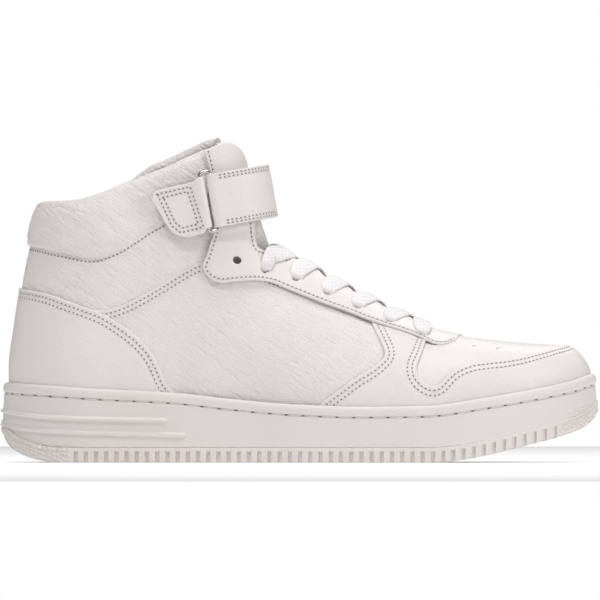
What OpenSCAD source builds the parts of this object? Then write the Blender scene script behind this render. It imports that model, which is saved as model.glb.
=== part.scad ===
// Basketball high top, right foot: a cupsole shoe with a padded collar, laces and a ring-and-strap
// ankle closure. +X points to the toe, +Y to the inner (medial) side, +Z up. The origin is at the
// middle of the footprint, on the ground.

/* [Size] */
// Length of the sole from heel to toe
shoe_length = 300; // [270:1:330]

/* [Upper] */
// Thickness of one leather layer
leather = 1.1; // [0.9:0.1:1.2]
// How far the collar padding stands out from the leather
collar_bulge = 3.6; // [2:0.2:4]
// Diameter of the punched lace holes
eyelet_d = 4; // [3:0.5:5]

/* [Lace] */
// Width of the flat lace
lace_width = 8; // [6:0.5:9]
// Thickness of the flat lace
lace_thickness = 1.6; // [1:0.1:2]

/* [Ankle strap] */
// Width of the strap
strap_width = 27; // [22:1:28]
// Thickness of the strap
strap_thickness = 2.2; // [1.6:0.1:2.4]
// Diameter of the ring's wire
wire_d = 2; // [1.6:0.1:2.2]

/* [Sole] */
// Height of the tread layer under the cup
tread_height = 7.5; // [6:0.5:8]
// Depth of the slots around the tread
slot_depth = 2; // [1:0.25:2.5]
// Number of slots along each side
slot_count = 48; // [30:1:52]

/* [Hidden] */
design_length = 300;
$fn = 48;

lateral = -1;
medial = 1;
white = [0.93, 0.92, 0.91];
warm_white = [0.92, 0.90, 0.87];
steel = [0.72, 0.72, 0.73];

// ---- Lines of the shoe: pairs of x and height, seen from the side ----

// Where the upper meets the sole's rim
feather = [[-150, 41], [-103, 37.5], [-64, 35.5], [-35, 32.3], [0, 29.4], [31, 28.4], [62, 28.8],
    [93, 33], [113, 36.6], [134, 41.3], [146, 45.5], [152, 46.5]];
// Underside of the sole
ground_line = [[-150, 14], [-147, 9], [-141.6, 5], [-132, 1.3], [-122, 0], [66, 0], [79, 1],
    [95, 4], [112, 8.3], [130, 12.9], [144, 18.5], [150, 24]];
// Top of the lasting board
board_line = [[-150, 27], [-100, 26], [-40, 22], [20, 17.5], [60, 17], [78, 18], [95, 20.5],
    [112, 24], [130, 28.5], [150, 34]];
// Ridge of the upper: tongue, instep, toe box
crest = [[-62, 262], [-36, 176], [-31, 159], [-27.5, 147], [-24.5, 136], [-20.5, 122],
    [-16.5, 112], [-10, 105], [0, 98.5], [14, 90], [31, 81], [48, 72.5], [68, 65], [82, 62.3],
    [104, 59.6], [116, 58.5], [129, 57.8], [133, 56.8], [137, 54], [140.5, 50], [144.1, 44.8]];
// Back of the heel: height and x
heel_back = [[20, -144], [49, -144.3], [58, -143.4], [67, -141.8], [76, -140], [84, -138.7],
    [92, -137.7], [100, -136], [109, -133.8], [115, -132.5], [125, -131], [135, -129], [165, -124]];
// Top line of the collar
topline = [[-150, 129], [-128, 132], [-115, 132.5], [-104, 135], [-88, 141.3], [-76, 146],
    [-70, 148.3], [-55, 155], [-46, 158.5], [-36, 160], [-29, 157]];
// Seam under the padded collar
collar_seam = [[-150, 109], [-136, 109], [-118, 105.6], [-104, 103.2], [-95, 106], [-86, 111],
    [-76, 117.7], [-68, 121.8], [-50, 130.5], [-40, 134]];
// Top edge of the heel counter
counter_top = [[-150, 88], [-138, 87.5], [-128, 85.2], [-115, 80.5], [-103, 76], [-95, 71],
    [-82, 61], [-72, 50], [-64, 37], [-60, 28]];
// Top edge of the side panel
side_top = [[-150, 70], [-103, 76.5], [-89, 79.5], [-79, 84], [-69, 90], [-60, 95.5], [-50, 100.5],
    [-44, 95], [-24, 94], [-4, 88], [24, 77], [34, 73], [42, 62], [43, 52]];
// Bottom edge of the lace facing
facing_low = [[-50, 98], [-47, 93.5], [-43, 90.5], [-32, 90.7], [-24, 91.5], [-15, 90], [-4, 85.4],
    [10, 80], [24, 74.8], [45, 67], [60, 62], [67, 59.6], [75, 58.6], [80, 59.6]];

// ---- Plan of the upper: half width at each x ----
lateral_half = [[-150, 32], [-100, 33.5], [-60, 34], [-30, 36], [0, 41], [30, 46.3], [58, 48.5]];
medial_half = [[-150, 32], [-100, 32.5], [-60, 30.3], [-30, 31.5], [0, 35.5], [30, 42.5], [58, 46.5]];
// How the ankle narrows with height
ankle_taper = [[30, 1], [50, 1.02], [70, 0.97], [90, 0.91], [105, 0.885], [125, 0.87], [165, 0.85]];
// Roundness of the cross sections
section_power = [[-60, 2.2], [-20, 2.1], [10, 1.9], [60, 2], [100, 2.4], [144, 2.4]];

toe_start = 58;
toe_tip = 144.1;
toe_power = 2.4;
heel_round = 42;
toe_inset = 8;
plan_shift = -1.8;

function ease(t) = let (u = max(0, min(1, t))) u * u * (3 - 2 * u);
function mix(a, b, t) = a + (b - a) * t;
function steps(n) = [for (i = [0 : n]) i / n];

function superarc(t, p) = pow(max(0, 1 - pow(max(0, min(1, t)), p)), 1 / p);

// Middle of the plan at x: the toe leans to the inner side
function centre(x) = plan_shift + toe_inset * pow(max(0, (x + 20) / (toe_tip + 20)), 1.6);

// Half width of the plan at x, d outside the upper
function plan_half(x, side, d) =
    let (table = side < 0 ? lateral_half : medial_half)
    x <= toe_start ? lookup(x, table) + d
    : (lookup(toe_start, table) + d) * superarc((x - toe_start) / (toe_tip + d - toe_start), toe_power);

// 0 at the back of the heel, 1 once the plan has its full width
function heel_share(x, z, d) =
    superarc(1 - (x - lookup(z, heel_back) + d) / heel_round, 2.2);

// Height of the ridge at x, d above the upper
function ridge(x, d) =
    let (ahead = ease((x - 100) / 40))
    lookup(x - d * ahead, crest) + d * (1 - ahead);

// Distance of the surface from the middle plane, at the side-view point (x, z)
function half_at(x, z, side, d) =
    let (
        low = lookup(x, feather),
        share = max(0, (z - low) / max(0.5, ridge(x, d) - low)),
        taper = 1 + (lookup(z, ankle_taper) - 1) * ease((20 - x) / 60)
    )
    (plan_half(x, side, 0) * taper + d) * superarc(share, lookup(x, section_power)) * heel_share(x, z, d);

function side_point(x, z, side, d) = [x, centre(x) + side * half_at(x, z, side, d), z];

// A point that goes round the heel: way runs from -1 (outer side) over 0 (heel) to 1 (inner side)
function heel_point(way, reach, z, d) =
    let (back = lookup(z, heel_back) - d, x = mix(back, reach, way * way))
    side_point(x, z, way < 0 ? lateral : medial, d);

// Height of the surface over the plan point (x, y)
function roof(x, y, d) =
    let (
        side = y < centre(x) ? lateral : medial,
        low = lookup(x, feather),
        share = abs(y - centre(x)) / max(0.1, plan_half(x, side, d))
    )
    low + max(0, ridge(x, d) - low) * superarc(share, lookup(x, section_power));

// ---- Solids from grids of points ----

// Closed solid between two grids of points of the same size; flip turns its faces over
module shell(outer, inner, flip = false) {
    rows = len(outer);
    columns = len(outer[0]);
    points = [for (grid = [outer, inner]) for (row = grid) for (p = row) p];
    function at(k, i, j) = (k * rows + i) * columns + j;
    function quad(a, b, c, d) = [[a, b, c], [a, c, d]];
    faces = [
        for (i = [0 : rows - 2]) for (j = [0 : columns - 2]) for (f = concat(
            quad(at(0, i, j), at(0, i, j + 1), at(0, i + 1, j + 1), at(0, i + 1, j)),
            quad(at(1, i, j), at(1, i + 1, j), at(1, i + 1, j + 1), at(1, i, j + 1)))) f,
        for (i = [0 : rows - 2]) for (f = concat(
            quad(at(0, i, 0), at(0, i + 1, 0), at(1, i + 1, 0), at(1, i, 0)),
            quad(at(0, i, columns - 1), at(1, i, columns - 1),
                at(1, i + 1, columns - 1), at(0, i + 1, columns - 1)))) f,
        for (j = [0 : columns - 2]) for (f = concat(
            quad(at(0, 0, j), at(1, 0, j), at(1, 0, j + 1), at(0, 0, j + 1)),
            quad(at(0, rows - 1, j), at(0, rows - 1, j + 1),
                at(1, rows - 1, j + 1), at(1, rows - 1, j)))) f
    ];
    turned = [for (f = faces) [f[2], f[1], f[0]]];
    polyhedron(points, flip ? turned : faces, convexity = 6);
}

// A leather panel on one side between x0 and x1; its lower and upper edges are functions of x
module side_panel_between(side, x0, x1, low, high, d0, d1, columns, rows) {
    function grid(d) = [for (u = steps(columns)) [for (v = steps(rows))
        let (x = mix(x0, x1, u)) side_point(x, mix(low(x), high(x), v), side, d)]];
    shell(grid(d1), grid(d0), side > 0);
}

// A panel that wraps round the heel between two heights, out to reach on each side
module heel_wrap(reach, low, high, d0, d1, columns, rows, puff = 0) {
    function grid(d, bulge) = [for (u = steps(columns)) [for (v = steps(rows))
        let (
            way = 2 * u - 1,
            x = mix(lookup(60, heel_back), reach, way * way),
            z = mix(low(x), high(x), v),
            rise = bulge * pow(max(0, 1 - pow(2 * v - 1, 2)), 0.5)
        )
        heel_point(way, reach, z, d + rise)]];
    shell(grid(d1, puff), grid(d0, 0), true);
}

// ---- Sole: closed loops round the plan, lofted upwards ----

// x positions from heel to toe, closer together at both ends
function plan_stations(n, d) =
    let (x0 = lookup(45, heel_back) - d, x1 = toe_tip + d)
    [for (i = [0 : n]) mix(x0, x1, (1 - cos(180 * (i + 0.4) / (n + 0.8))) / 2)];

function plan_point(x, side, d) =
    centre(x) + side * plan_half(x, side, d) * heel_share(x, 45, d);

// A loop round the plan at height line + lift
function plan_loop(n, d, line, lift) = let (xs = plan_stations(n, d)) concat(
    [for (x = xs) [x, plan_point(x, lateral, d), lookup(x, line) + lift]],
    [for (i = [n : -1 : 0])
        let (x = xs[i]) [x, plan_point(x, medial, d), lookup(x, line) + lift]]);

// Solid through loops whose first half runs along one side and second half back along the other
module ladder_loft(loops) {
    n = len(loops[0]);
    top = (len(loops) - 1) * n;
    points = [for (l = loops) for (p = l) p];
    faces = [
        for (k = [0 : len(loops) - 2]) for (j = [0 : n - 1]) for (f = [
            [k * n + j, (k + 1) * n + (j + 1) % n, k * n + (j + 1) % n],
            [k * n + j, (k + 1) * n + j, (k + 1) * n + (j + 1) % n]]) f,
        for (i = [0 : n / 2 - 2]) for (f = [
            [i, i + 1, n - 2 - i], [i, n - 2 - i, n - 1 - i],
            [top + i, top + n - 2 - i, top + i + 1], [top + i, top + n - 1 - i, top + n - 2 - i]]) f
    ];
    polyhedron(points, faces, convexity = 8);
}

sole_out = 5.8;
cup_in = 3.2;
slot_first = -113;
slot_last = 128.5;
slot_width = 2.1;
slot_height = 5.8;
slot_draft = 0.3;

// The tread's side stations: [x, 1 inside a slot or 0 between slots]
function slot_stations() =
    let (
        ends = [for (x = plan_stations(34, sole_out)) if (x < slot_first - 3 || x > slot_last + 3) [x, 0]],
        slots = [for (i = [0 : slot_count - 1])
            let (x = mix(slot_first, slot_last, i / (slot_count - 1)), half = slot_width / 2)
            for (s = [[-half - slot_draft, 0], [-half, 1], [half, 1], [half + slot_draft, 0]])
                [x + s[0], s[1]]]
    )
    concat([for (s = ends) if (s[0] < 0) s], slots, [for (s = ends) if (s[0] > 0) s]);

function slotted_loop(list, line, lift) = concat(
    [for (s = list) [s[0], plan_point(s[0], lateral, sole_out) + s[1] * slot_depth,
        lookup(s[0], line) + lift]],
    [for (i = [len(list) - 1 : -1 : 0]) let (s = list[i])
        [s[0], plan_point(s[0], medial, sole_out) - s[1] * slot_depth, lookup(s[0], line) + lift]]);

module outsole() {
    list = slot_stations();
    plain = [for (s = list) [s[0], 0]];
    color(warm_white) ladder_loft([
        slotted_loop(list, ground_line, 0),
        slotted_loop(list, ground_line, slot_height),
        slotted_loop(plain, ground_line, slot_height + 0.2),
        slotted_loop(plain, ground_line, tread_height)
    ]);
}

module cupsole() {
    color(white) ladder_loft([
        plan_loop(44, sole_out, ground_line, tread_height + 0.3),
        plan_loop(44, sole_out, feather, -7),
        plan_loop(44, sole_out - 0.9, feather, -5.6),
        plan_loop(44, sole_out - 0.1, feather, -4.2),
        plan_loop(44, sole_out - 0.3, feather, -0.6),
        plan_loop(44, sole_out - 1.4, feather, 0),
        plan_loop(44, cup_in, feather, 0),
        plan_loop(44, cup_in, ground_line, tread_height + 2.5)
    ]);
}

// Thread lying in the groove under the rim, one closed loop round the shoe
module cupsole_stitching() {
    thread = 0.35;
    list = plan_loop(44, sole_out - 0.35, feather, -5.6);
    n = len(list);
    function ring(i) = let (
        p = list[i], a = list[(i + n - 1) % n], b = list[(i + 1) % n],
        out = [b[1] - a[1], a[0] - b[0], 0] / norm([b[0] - a[0], b[1] - a[1]])
    ) [p - thread * out, p + [0, 0, thread], p + thread * out, p - [0, 0, thread]];
    points = [for (i = [0 : n - 1]) for (p = ring(i)) p];
    faces = [for (i = [0 : n - 1]) for (k = [0 : 3])
        let (m = (i + 1) % n, l = (k + 1) % 4)
        for (f = [[i * 4 + k, m * 4 + k, m * 4 + l], [i * 4 + k, m * 4 + l, i * 4 + l]]) f];
    color(warm_white) polyhedron(points, faces, convexity = 6);
}

module midsole() {
    color([0.85, 0.84, 0.80]) ladder_loft([
        plan_loop(40, cup_in - 0.6, ground_line, tread_height + 2.9),
        plan_loop(40, cup_in - 0.6, board_line, -1.8)
    ]);
}

module lasting_board() {
    color([0.80, 0.76, 0.68]) ladder_loft([
        plan_loop(40, 1.2, board_line, -1.5), plan_loop(40, 1.2, board_line, 0)]);
}

module sockliner() {
    color([0.88, 0.88, 0.87]) ladder_loft([
        plan_loop(40, -3.3, board_line, 0.2), plan_loop(40, -3.9, board_line, 4)]);
}

// ---- Upper ----

layer_gap = 0.3;
stiffener = [-1.4, -0.4];
inside = [-2.8, -1.8];
first = [layer_gap, layer_gap + leather];
second = [first[1] + layer_gap, first[1] + layer_gap + leather];
third = [second[1] + layer_gap, second[1] + layer_gap + leather];
foam_in = 6.6;
lining_thick = 1;

function on_board(x) = lookup(x, board_line) + 0.3;

module counter_stiffener() {
    color([0.75, 0.73, 0.70])
    heel_wrap(-85, function(x) on_board(x), function(x) lookup(x, counter_top) - 6,
        stiffener[0], stiffener[1], 24, 4);
}

module heel_counter() {
    color(white)
    heel_wrap(-62, function(x) on_board(x), function(x) max(lookup(x, counter_top), on_board(x) + 2),
        second[0], second[1], 32, 6);
}

module collar() {
    color(white)
    heel_wrap(-50, function(x) lookup(x, collar_seam), function(x) lookup(x, topline),
        first[0], first[1], 32, 8, collar_bulge);
}

module collar_foam() {
    color([0.95, 0.90, 0.70])
    heel_wrap(-54, function(x) lookup(x, collar_seam) - 8, function(x) lookup(x, topline) - 2,
        -foam_in, -0.1, 28, 5);
}

// Textile inside the quarters; it runs over the foam higher up
module lining() {
    function depth(z) = mix(-inside[1], foam_in + 0.4, ease((z - 74) / 18));
    function grid(extra) = [for (u = steps(28)) [for (v = steps(8))
        let (
            way = 2 * u - 1,
            x = mix(lookup(60, heel_back), -53, way * way),
            z = mix(on_board(x), lookup(x, topline) - 2, v)
        )
        heel_point(way, -53, z, -depth(z) - extra)]];
    color([0.93, 0.93, 0.92]) shell(grid(0), grid(lining_thick), true);
}

// Half sections over the ridge, from the board on one side to the board on the other
function section_points(x, d, n) = concat(
    [[x, plan_point(x, lateral, d), on_board(x)]],
    [for (i = [0 : n]) let (a = -90 + 180 * i / n, side = a < 0 ? lateral : medial,
        y = centre(x) + plan_half(x, side, d) * sin(a) * 0.999)
        [x, y, roof(x, y, d)]],
    [[x, plan_point(x, medial, d), on_board(x)]]);

module toe_shell(x0, d0, d1, columns, n) {
    function grid(d) = [for (u = steps(columns)) section_points(mix(x0, toe_tip + d, sin(88.5 * u)), d, n)];
    shell(grid(d1), grid(d0));
}

module vamp() {
    color(white) toe_shell(62, first[0], first[1], 20, 16);
}

module toe_puff() {
    color([0.75, 0.73, 0.70]) toe_shell(112, stiffener[0], stiffener[1], 7, 10);
}

// Height of an edge that runs beside the tongue, half away from the middle
throat_half = 13;
lining_throat_half = 22;
function throat_height(x, side, d, half) = roof(x, centre(x) + side * half, d);

module vamp_lining() {
    color([0.93, 0.93, 0.92]) {
        toe_shell(66, inside[0], inside[1], 10, 10);
        for (side = [lateral, medial])
            side_panel_between(side, -46, 65.5, function(x) on_board(x),
                function(x) min(throat_height(x, side, inside[0], lining_throat_half),
                    lookup(x, flap_top) - (x < -23 ? 2 : 0)),
                inside[0], inside[1], 16, 5);
    }
}

// Inner edge of the toe overlay, as x and height on the side
overlay_edge = [[57, 58.5], [58.5, 47], [62, 39], [67, 37.4], [74, 42], [79, 46], [87, 48.6],
    [104, 50.4], [120, 53.2], [129, 55.6], [133, 56.8]];
overlay_rear = [[20, 8], [29, 11], [38, 22], [46, 34], [52, 42], [58, 42.5], [64, 39], [72, 33]];
overlay_split = 70;

module mudguard() {
    lift = 0.4;
    function wing(side, d) = [for (u = steps(9)) [for (v = steps(5))
        let (
            guess = mix(on_board(40), lookup(40, facing_low) + 2, v),
            x = mix(lookup(guess, overlay_rear), overlay_split, u),
            high = x < 57 ? lookup(x, facing_low) + 2 : lookup(x, overlay_edge)
        )
        side_point(x, mix(on_board(x), high, v), side, d)]];
    function band(d) = [for (i = [0 : 36]) let (way = 2 * i / 36 - 1, side = way < 0 ? lateral : medial)
        let (
            xo = mix(toe_tip + d, overlay_split + 0.3, way * way),
            xi = mix(133, overlay_split + 0.3, way * way),
            outer = [xo, plan_point(xo, side, d)],
            inner = [xi, centre(xi) + side * half_at(xi, lookup(xi, overlay_edge), side, d)]
        )
        concat([[xo, outer[1], on_board(xo)]],
            [for (v = steps(7)) let (p = mix(outer, inner, v)) [p[0], p[1], roof(p[0], p[1], d) + lift]])];
    color(white) {
        for (side = [lateral, medial])
            shell(wing(side, second[1]), wing(side, second[0]), side > 0);
        shell(band(second[1]), band(second[0]));
    }
}

module side_panel(side) {
    color(white)
    side_panel_between(side, -98, 42, function(x) on_board(x),
        function(x) max(lookup(x, side_top), on_board(x) + 3), first[0], first[1], 20, 5);
}

// Leather between the side panel and the padded collar; it closes round the back under the counter
module quarter(side) {
    low = function(x) lookup(x, side_top) + 0.4;
    high = function(x) lookup(x, collar_seam) - 1.8;
    function grid(d) = [for (u = steps(16)) [for (v = steps(4))
        let (
            way = side * mix(0.02, 1, u),
            x = mix(lookup(90, heel_back), -51, way * way),
            z = mix(low(x), high(x), v)
        )
        heel_point(way, -51, z, d)]];
    color(white) shell(grid(first[1]), grid(first[0]), side > 0);
}

// ---- Lace facings and laces ----

eyelets = [[-31.6, 102], [-17.3, 97.6], [-1.8, 93.4], [14, 86.2], [29, 79.3], [45.3, 72.2], [61.5, 65.6]];

// Outward direction of the upper at a side-view point
function outward(x, z, side) = let (
    e = 0.5,
    dx = (half_at(x + e, z, side, 0) - half_at(x - e, z, side, 0)) / (2 * e),
    dz = (half_at(x, z + e, side, 0) - half_at(x, z - e, side, 0)) / (2 * e),
    n = [-dx, side, -dz]
) n / norm(n);

// Turns +Z onto a direction
module point_along(direction) {
    rotate([0, acos(direction[2]), atan2(direction[1], direction[0])]) children();
}

flap_top = [[-50, 154], [-46, 156], [-37, 157], [-31, 152], [-28, 142], [-25.5, 126], [-24, 112],
    [-23, 106.5], [-14, 104], [-6, 99.5]];

module facing(side) {
    high = function(x) x < -6 ? lookup(x, flap_top) : throat_height(x, side, third[0], throat_half);
    color(white) difference() {
        side_panel_between(side, -49.5, 79, function(x) lookup(x, facing_low), high,
            third[0], third[1], 26, 6);
        for (e = eyelets) translate(side_point(e[0], e[1], side, third[0]))
            point_along(outward(e[0], e[1], side)) cylinder(d = eyelet_d, h = 12, center = true);
    }
}

// One flat lace from point a to point b over the ridge; lift raises it at the crossing
module lace_run(a, b, lift, n = 8) {
    middle = (a + b) / 2;
    peak = [middle[0], middle[1], roof(middle[0], centre(middle[0]), third[1] - 1) + 1.2 + lift];
    function route(t) = let (
        y = mix(a[1], b[1], t), x = mix(a[0], b[0], t), flat = mix(a[2], b[2], t)
    ) [x, y, flat + (peak[2] - middle[2]) * superarc(abs(2 * t - 1), 2.3)];
    along = [b[0] - a[0], b[1] - a[1], 0] / norm([b[0] - a[0], b[1] - a[1]]);
    across = [-along[1], along[0], 0];
    slope = -tan(24) * across[0];
    wide = [across[0], across[1], slope] * lace_width / 2;
    rings = [for (t = steps(n)) let (p = route(t)) [
        p - wide, p + wide, p + wide + [0, 0, lace_thickness], p - wide + [0, 0, lace_thickness]]];
    loft_flat(rings);
}

module loft_flat(rings) {
    last = len(rings) - 1;
    points = [for (r = rings) for (p = r) p];
    faces = [
        for (i = [0 : last - 1]) for (j = [0 : 3]) let (k = (j + 1) % 4) for (f = [
            [i * 4 + j, i * 4 + k, (i + 1) * 4 + k], [i * 4 + j, (i + 1) * 4 + k, (i + 1) * 4 + j]]) f,
        [3, 2, 1], [3, 1, 0],
        [last * 4, last * 4 + 1, last * 4 + 2], [last * 4, last * 4 + 2, last * 4 + 3]
    ];
    turned = [for (f = faces) [f[2], f[1], f[0]]];
    polyhedron(points, turned, convexity = 4);
}

function lace_end(i, side) =
    side_point(eyelets[i][0], eyelets[i][1] + 1, side, third[1] + (i == 1 ? 4 : 1.8));

module lace() {
    color([0.96, 0.96, 0.97]) {
        lace_run(lace_end(6, lateral), lace_end(6, medial), 0);
        for (i = [1 : 5]) {
            top = i == 1 ? 2 : 0;
            lace_run(lace_end(i, lateral), lace_end(i + 1, medial), 0.2 + top);
            lace_run(lace_end(i, medial), lace_end(i + 1, lateral), 2.4 + top);
        }
    }
}

// ---- Tongue ----

tongue_hinge = [-14, 103];
tongue_thick = 7;
tongue_half = 18.5;

// The tongue follows the ridge, set back by depth; each ring is a cross section over y
function tongue_ring(x, z, lean, half, depth, thick) = let (
    back = [-cos(lean), 0, -sin(lean)]
) concat(
    [for (i = [0 : 6]) let (y = mix(-half, half, i / 6), hollow = 0.2 + depth * pow(abs(y) / half, 2))
        [x, centre(x) + y, z] + back * hollow],
    [for (i = [6 : -1 : 0]) let (y = mix(-half, half, i / 6), hollow = 0.2 + depth * pow(abs(y) / half, 2))
        [x, centre(x) + y, z] + back * (hollow + thick * (1 - 0.5 * pow(abs(y) / half, 3)))]);

tongue_low_path = [[78, 60.5], [66, 64.5], [48, 71.5], [31, 80], [14, 89], [0, 97], [-9, 102.6]];
tongue_top_path = [[-15.5, 106.5], [-18.2, 114], [-21.2, 124], [-24.4, 136], [-27.5, 147],
    [-31, 156.5], [-34.5, 160.5]];

module tongue_base() {
    n = len(tongue_low_path) - 1;
    rings = [for (i = [0 : n]) let (p = tongue_low_path[i])
        tongue_ring(p[0], p[1] - 3, 62 - 6 * i / n, tongue_half, 7.5, mix(3, 6, i / n))];
    color(warm_white) ladder_loft(rings);
}

module tongue_top() {
    n = len(tongue_top_path) - 1;
    color(warm_white) ladder_loft([for (i = [0 : n]) let (p = tongue_top_path[i])
        tongue_ring(p[0], p[1], mix(24, 12, i / n), mix(16.5, 15.5, i / n), mix(8, 9, i / n),
            i == n ? 4 : tongue_thick)]);
}

// ---- Ankle strap: everything is drawn in the strap's own frame ----
// Its x runs forward along the strap, its z along the ring's bars.

strap_origin = [-43, plan_shift, 132];
strap_tilt = -10;
ring_pitch = 5.5;
ring_height = strap_width + 3.2;
bar_y = -33.4;
bar_clear = 0.05;
eye_wall = 1.1;
corner_r = 26;
corner_x = 3;
corner_y = -bar_y - corner_r;
bend_angle = 45;
bend_gap = 0.6;
tip_end = -26;
// The tip is rounded by a circle whose middle lies this far in from the end
tip_r = 14;
tip_inset = 12;
// Neighbouring stretches of one strap piece run into each other by this much
join = 0.02;

module strap_frame() {
    translate(strap_origin) rotate([0, strap_tilt, 0]) children();
}

module strap_ring() {
    bend = 2;
    half = ring_height / 2;
    module bar(x) {
        translate([x, bar_y, 0]) cylinder(d = wire_d, h = ring_height - 2 * bend, center = true);
    }
    module corner(sx, sz) {
        translate([sx > 0 ? -bend : bend - ring_pitch, bar_y, sz * (half - bend)])
            rotate([90, 0, 0]) scale([sx, sz, 1]) rotate_extrude(angle = 90)
                translate([bend, 0]) circle(d = wire_d);
    }
    color(steel) strap_frame() {
        for (x = [0, -ring_pitch]) bar(x);
        for (sz = [-1, 1]) translate([-bend, bar_y, sz * half]) rotate([0, -90, 0])
            cylinder(d = wire_d, h = ring_pitch - 2 * bend);
        for (sx = [-1, 1]) for (sz = [-1, 1]) corner(sx, sz);
    }
}

// Part of the strap as a wall of its outer thickness: a ring sector between two angles
module strap_arc(centre_y, from, to) {
    translate([corner_x, centre_y, 0]) rotate([0, 0, from]) translate([0, 0, -strap_width / 2])
        rotate_extrude(angle = to - from)
            translate([corner_r - strap_thickness / 2, 0]) square([strap_thickness, strap_width]);
}

module strap_plate(x0, x1, y) {
    translate([x0, y - strap_thickness / 2, -strap_width / 2])
        cube([x1 - x0, strap_thickness, strap_width]);
}

gap_angle = bend_gap / corner_r * 90 / PI;

module strap_near() {
    eye_r = wire_d / 2 + bar_clear + eye_wall;
    color(white) strap_frame() difference() {
        union() {
            translate([0, bar_y, 0]) cylinder(r = eye_r, h = strap_width, center = true);
            strap_plate(0, corner_x + join, bar_y);
            strap_arc(-corner_y, -90, -bend_angle - gap_angle);
        }
        translate([0, bar_y, 0])
            cylinder(r = wire_d / 2 + bar_clear, h = strap_width + 2, center = true);
    }
}

module strap_front() {
    color(white) strap_frame() {
        strap_arc(-corner_y, -bend_angle + gap_angle, 0);
        translate([corner_x + corner_r - strap_thickness / 2, -corner_y - join, -strap_width / 2])
            cube([strap_thickness, 2 * (corner_y + join), strap_width]);
        strap_arc(corner_y, 0, bend_angle - gap_angle);
    }
}

module strap_tip() {
    color(white) strap_frame() {
        strap_arc(corner_y, bend_angle + gap_angle, 90);
        intersection() {
            strap_plate(tip_end, corner_x + join, -bar_y);
            translate([tip_end + tip_inset, -bar_y, 0]) rotate([90, 0, 0]) union() {
                cylinder(r = tip_r, h = 10, center = true);
                translate([0, -strap_width, -5]) cube([60, 2 * strap_width, 10]);
            }
        }
    }
}

hook_thick = 0.8;

module hook_patch() {
    color([0.90, 0.90, 0.90]) strap_frame()
        translate([tip_end + 3, -bar_y - strap_thickness / 2 - hook_thick, -strap_width / 2 + 3])
            cube([22, hook_thick, strap_width - 6]);
}

// Loop side of the closure, sewn on the inner ankle; it stands a little off the collar's curve
module loop_patch() {
    color([0.93, 0.93, 0.93]) strap_frame()
        translate([tip_end - 4, -bar_y - strap_thickness / 2 - hook_thick - 1.2, -strap_width / 2])
            cube([26, 0.9, strap_width]);
}

// Leather tab that holds the ring: a plate on the outer ankle with a sewn eye round the rear bar
module strap_anchor_tab() {
    eye_r = wire_d / 2 + bar_clear + eye_wall;
    thick = 1.5;
    outline = [[-5.5, -13], [-5.5, 13], [-17, 12.4], [-31, 8], [-32.5, 3], [-26, -8], [-20, -13.4],
        [-14, -14.6]];
    color(white) strap_frame() difference() {
        union() {
            translate([-ring_pitch, bar_y, 0]) cylinder(r = eye_r, h = 26, center = true);
            translate([0, bar_y + thick / 2, 0]) rotate([90, 0, 0])
                linear_extrude(thick) polygon(outline);
        }
        translate([-ring_pitch, bar_y, 0])
            cylinder(r = wire_d / 2 + bar_clear, h = 60, center = true);
    }
}

module sized() {
    scale(shoe_length / design_length) children();
}

sized() outsole();
sized() cupsole();
sized() cupsole_stitching();
sized() midsole();
sized() lasting_board();
sized() sockliner();
sized() counter_stiffener();
sized() toe_puff();
sized() lining();
sized() vamp_lining();
sized() collar_foam();
sized() vamp();
sized() mudguard();
sized() side_panel(lateral);  // side_panel_lateral
sized() side_panel(medial);  // side_panel_medial
sized() quarter(lateral);  // quarter_lateral
sized() quarter(medial);  // quarter_medial
sized() heel_counter();
sized() collar();
sized() facing(lateral);  // facing_lateral
sized() facing(medial);  // facing_medial
sized() tongue_base();
sized() tongue_top();
sized() lace();
sized() strap_anchor_tab();
sized() loop_patch();
sized() strap_ring();
sized() strap_near();
sized() strap_front();
sized() strap_tip();
sized() hook_patch();
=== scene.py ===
"""Looks for the basketball high top. Lengths are in millimetres until a mesh is made, then metres."""

import math

import bmesh
import bpy
import numpy as np
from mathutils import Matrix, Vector
from mathutils.geometry import delaunay_2d_cdt


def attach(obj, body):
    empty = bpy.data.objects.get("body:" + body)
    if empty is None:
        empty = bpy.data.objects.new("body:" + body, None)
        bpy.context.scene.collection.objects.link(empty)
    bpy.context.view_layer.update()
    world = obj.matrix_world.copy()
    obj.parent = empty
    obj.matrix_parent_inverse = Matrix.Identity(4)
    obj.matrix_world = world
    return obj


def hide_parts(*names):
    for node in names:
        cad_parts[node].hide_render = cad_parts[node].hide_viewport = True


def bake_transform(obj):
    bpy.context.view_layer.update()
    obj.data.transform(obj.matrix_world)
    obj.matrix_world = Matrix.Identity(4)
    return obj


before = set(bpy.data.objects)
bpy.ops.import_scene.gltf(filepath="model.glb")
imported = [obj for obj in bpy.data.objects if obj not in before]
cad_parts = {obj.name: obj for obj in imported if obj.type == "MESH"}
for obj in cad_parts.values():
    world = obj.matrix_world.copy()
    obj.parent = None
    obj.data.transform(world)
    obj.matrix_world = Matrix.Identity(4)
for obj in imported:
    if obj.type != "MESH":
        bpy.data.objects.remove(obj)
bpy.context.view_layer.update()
MM = 0.001
LATERAL, MEDIAL = -1, 1


# ---- Curves and small maths ----

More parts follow.
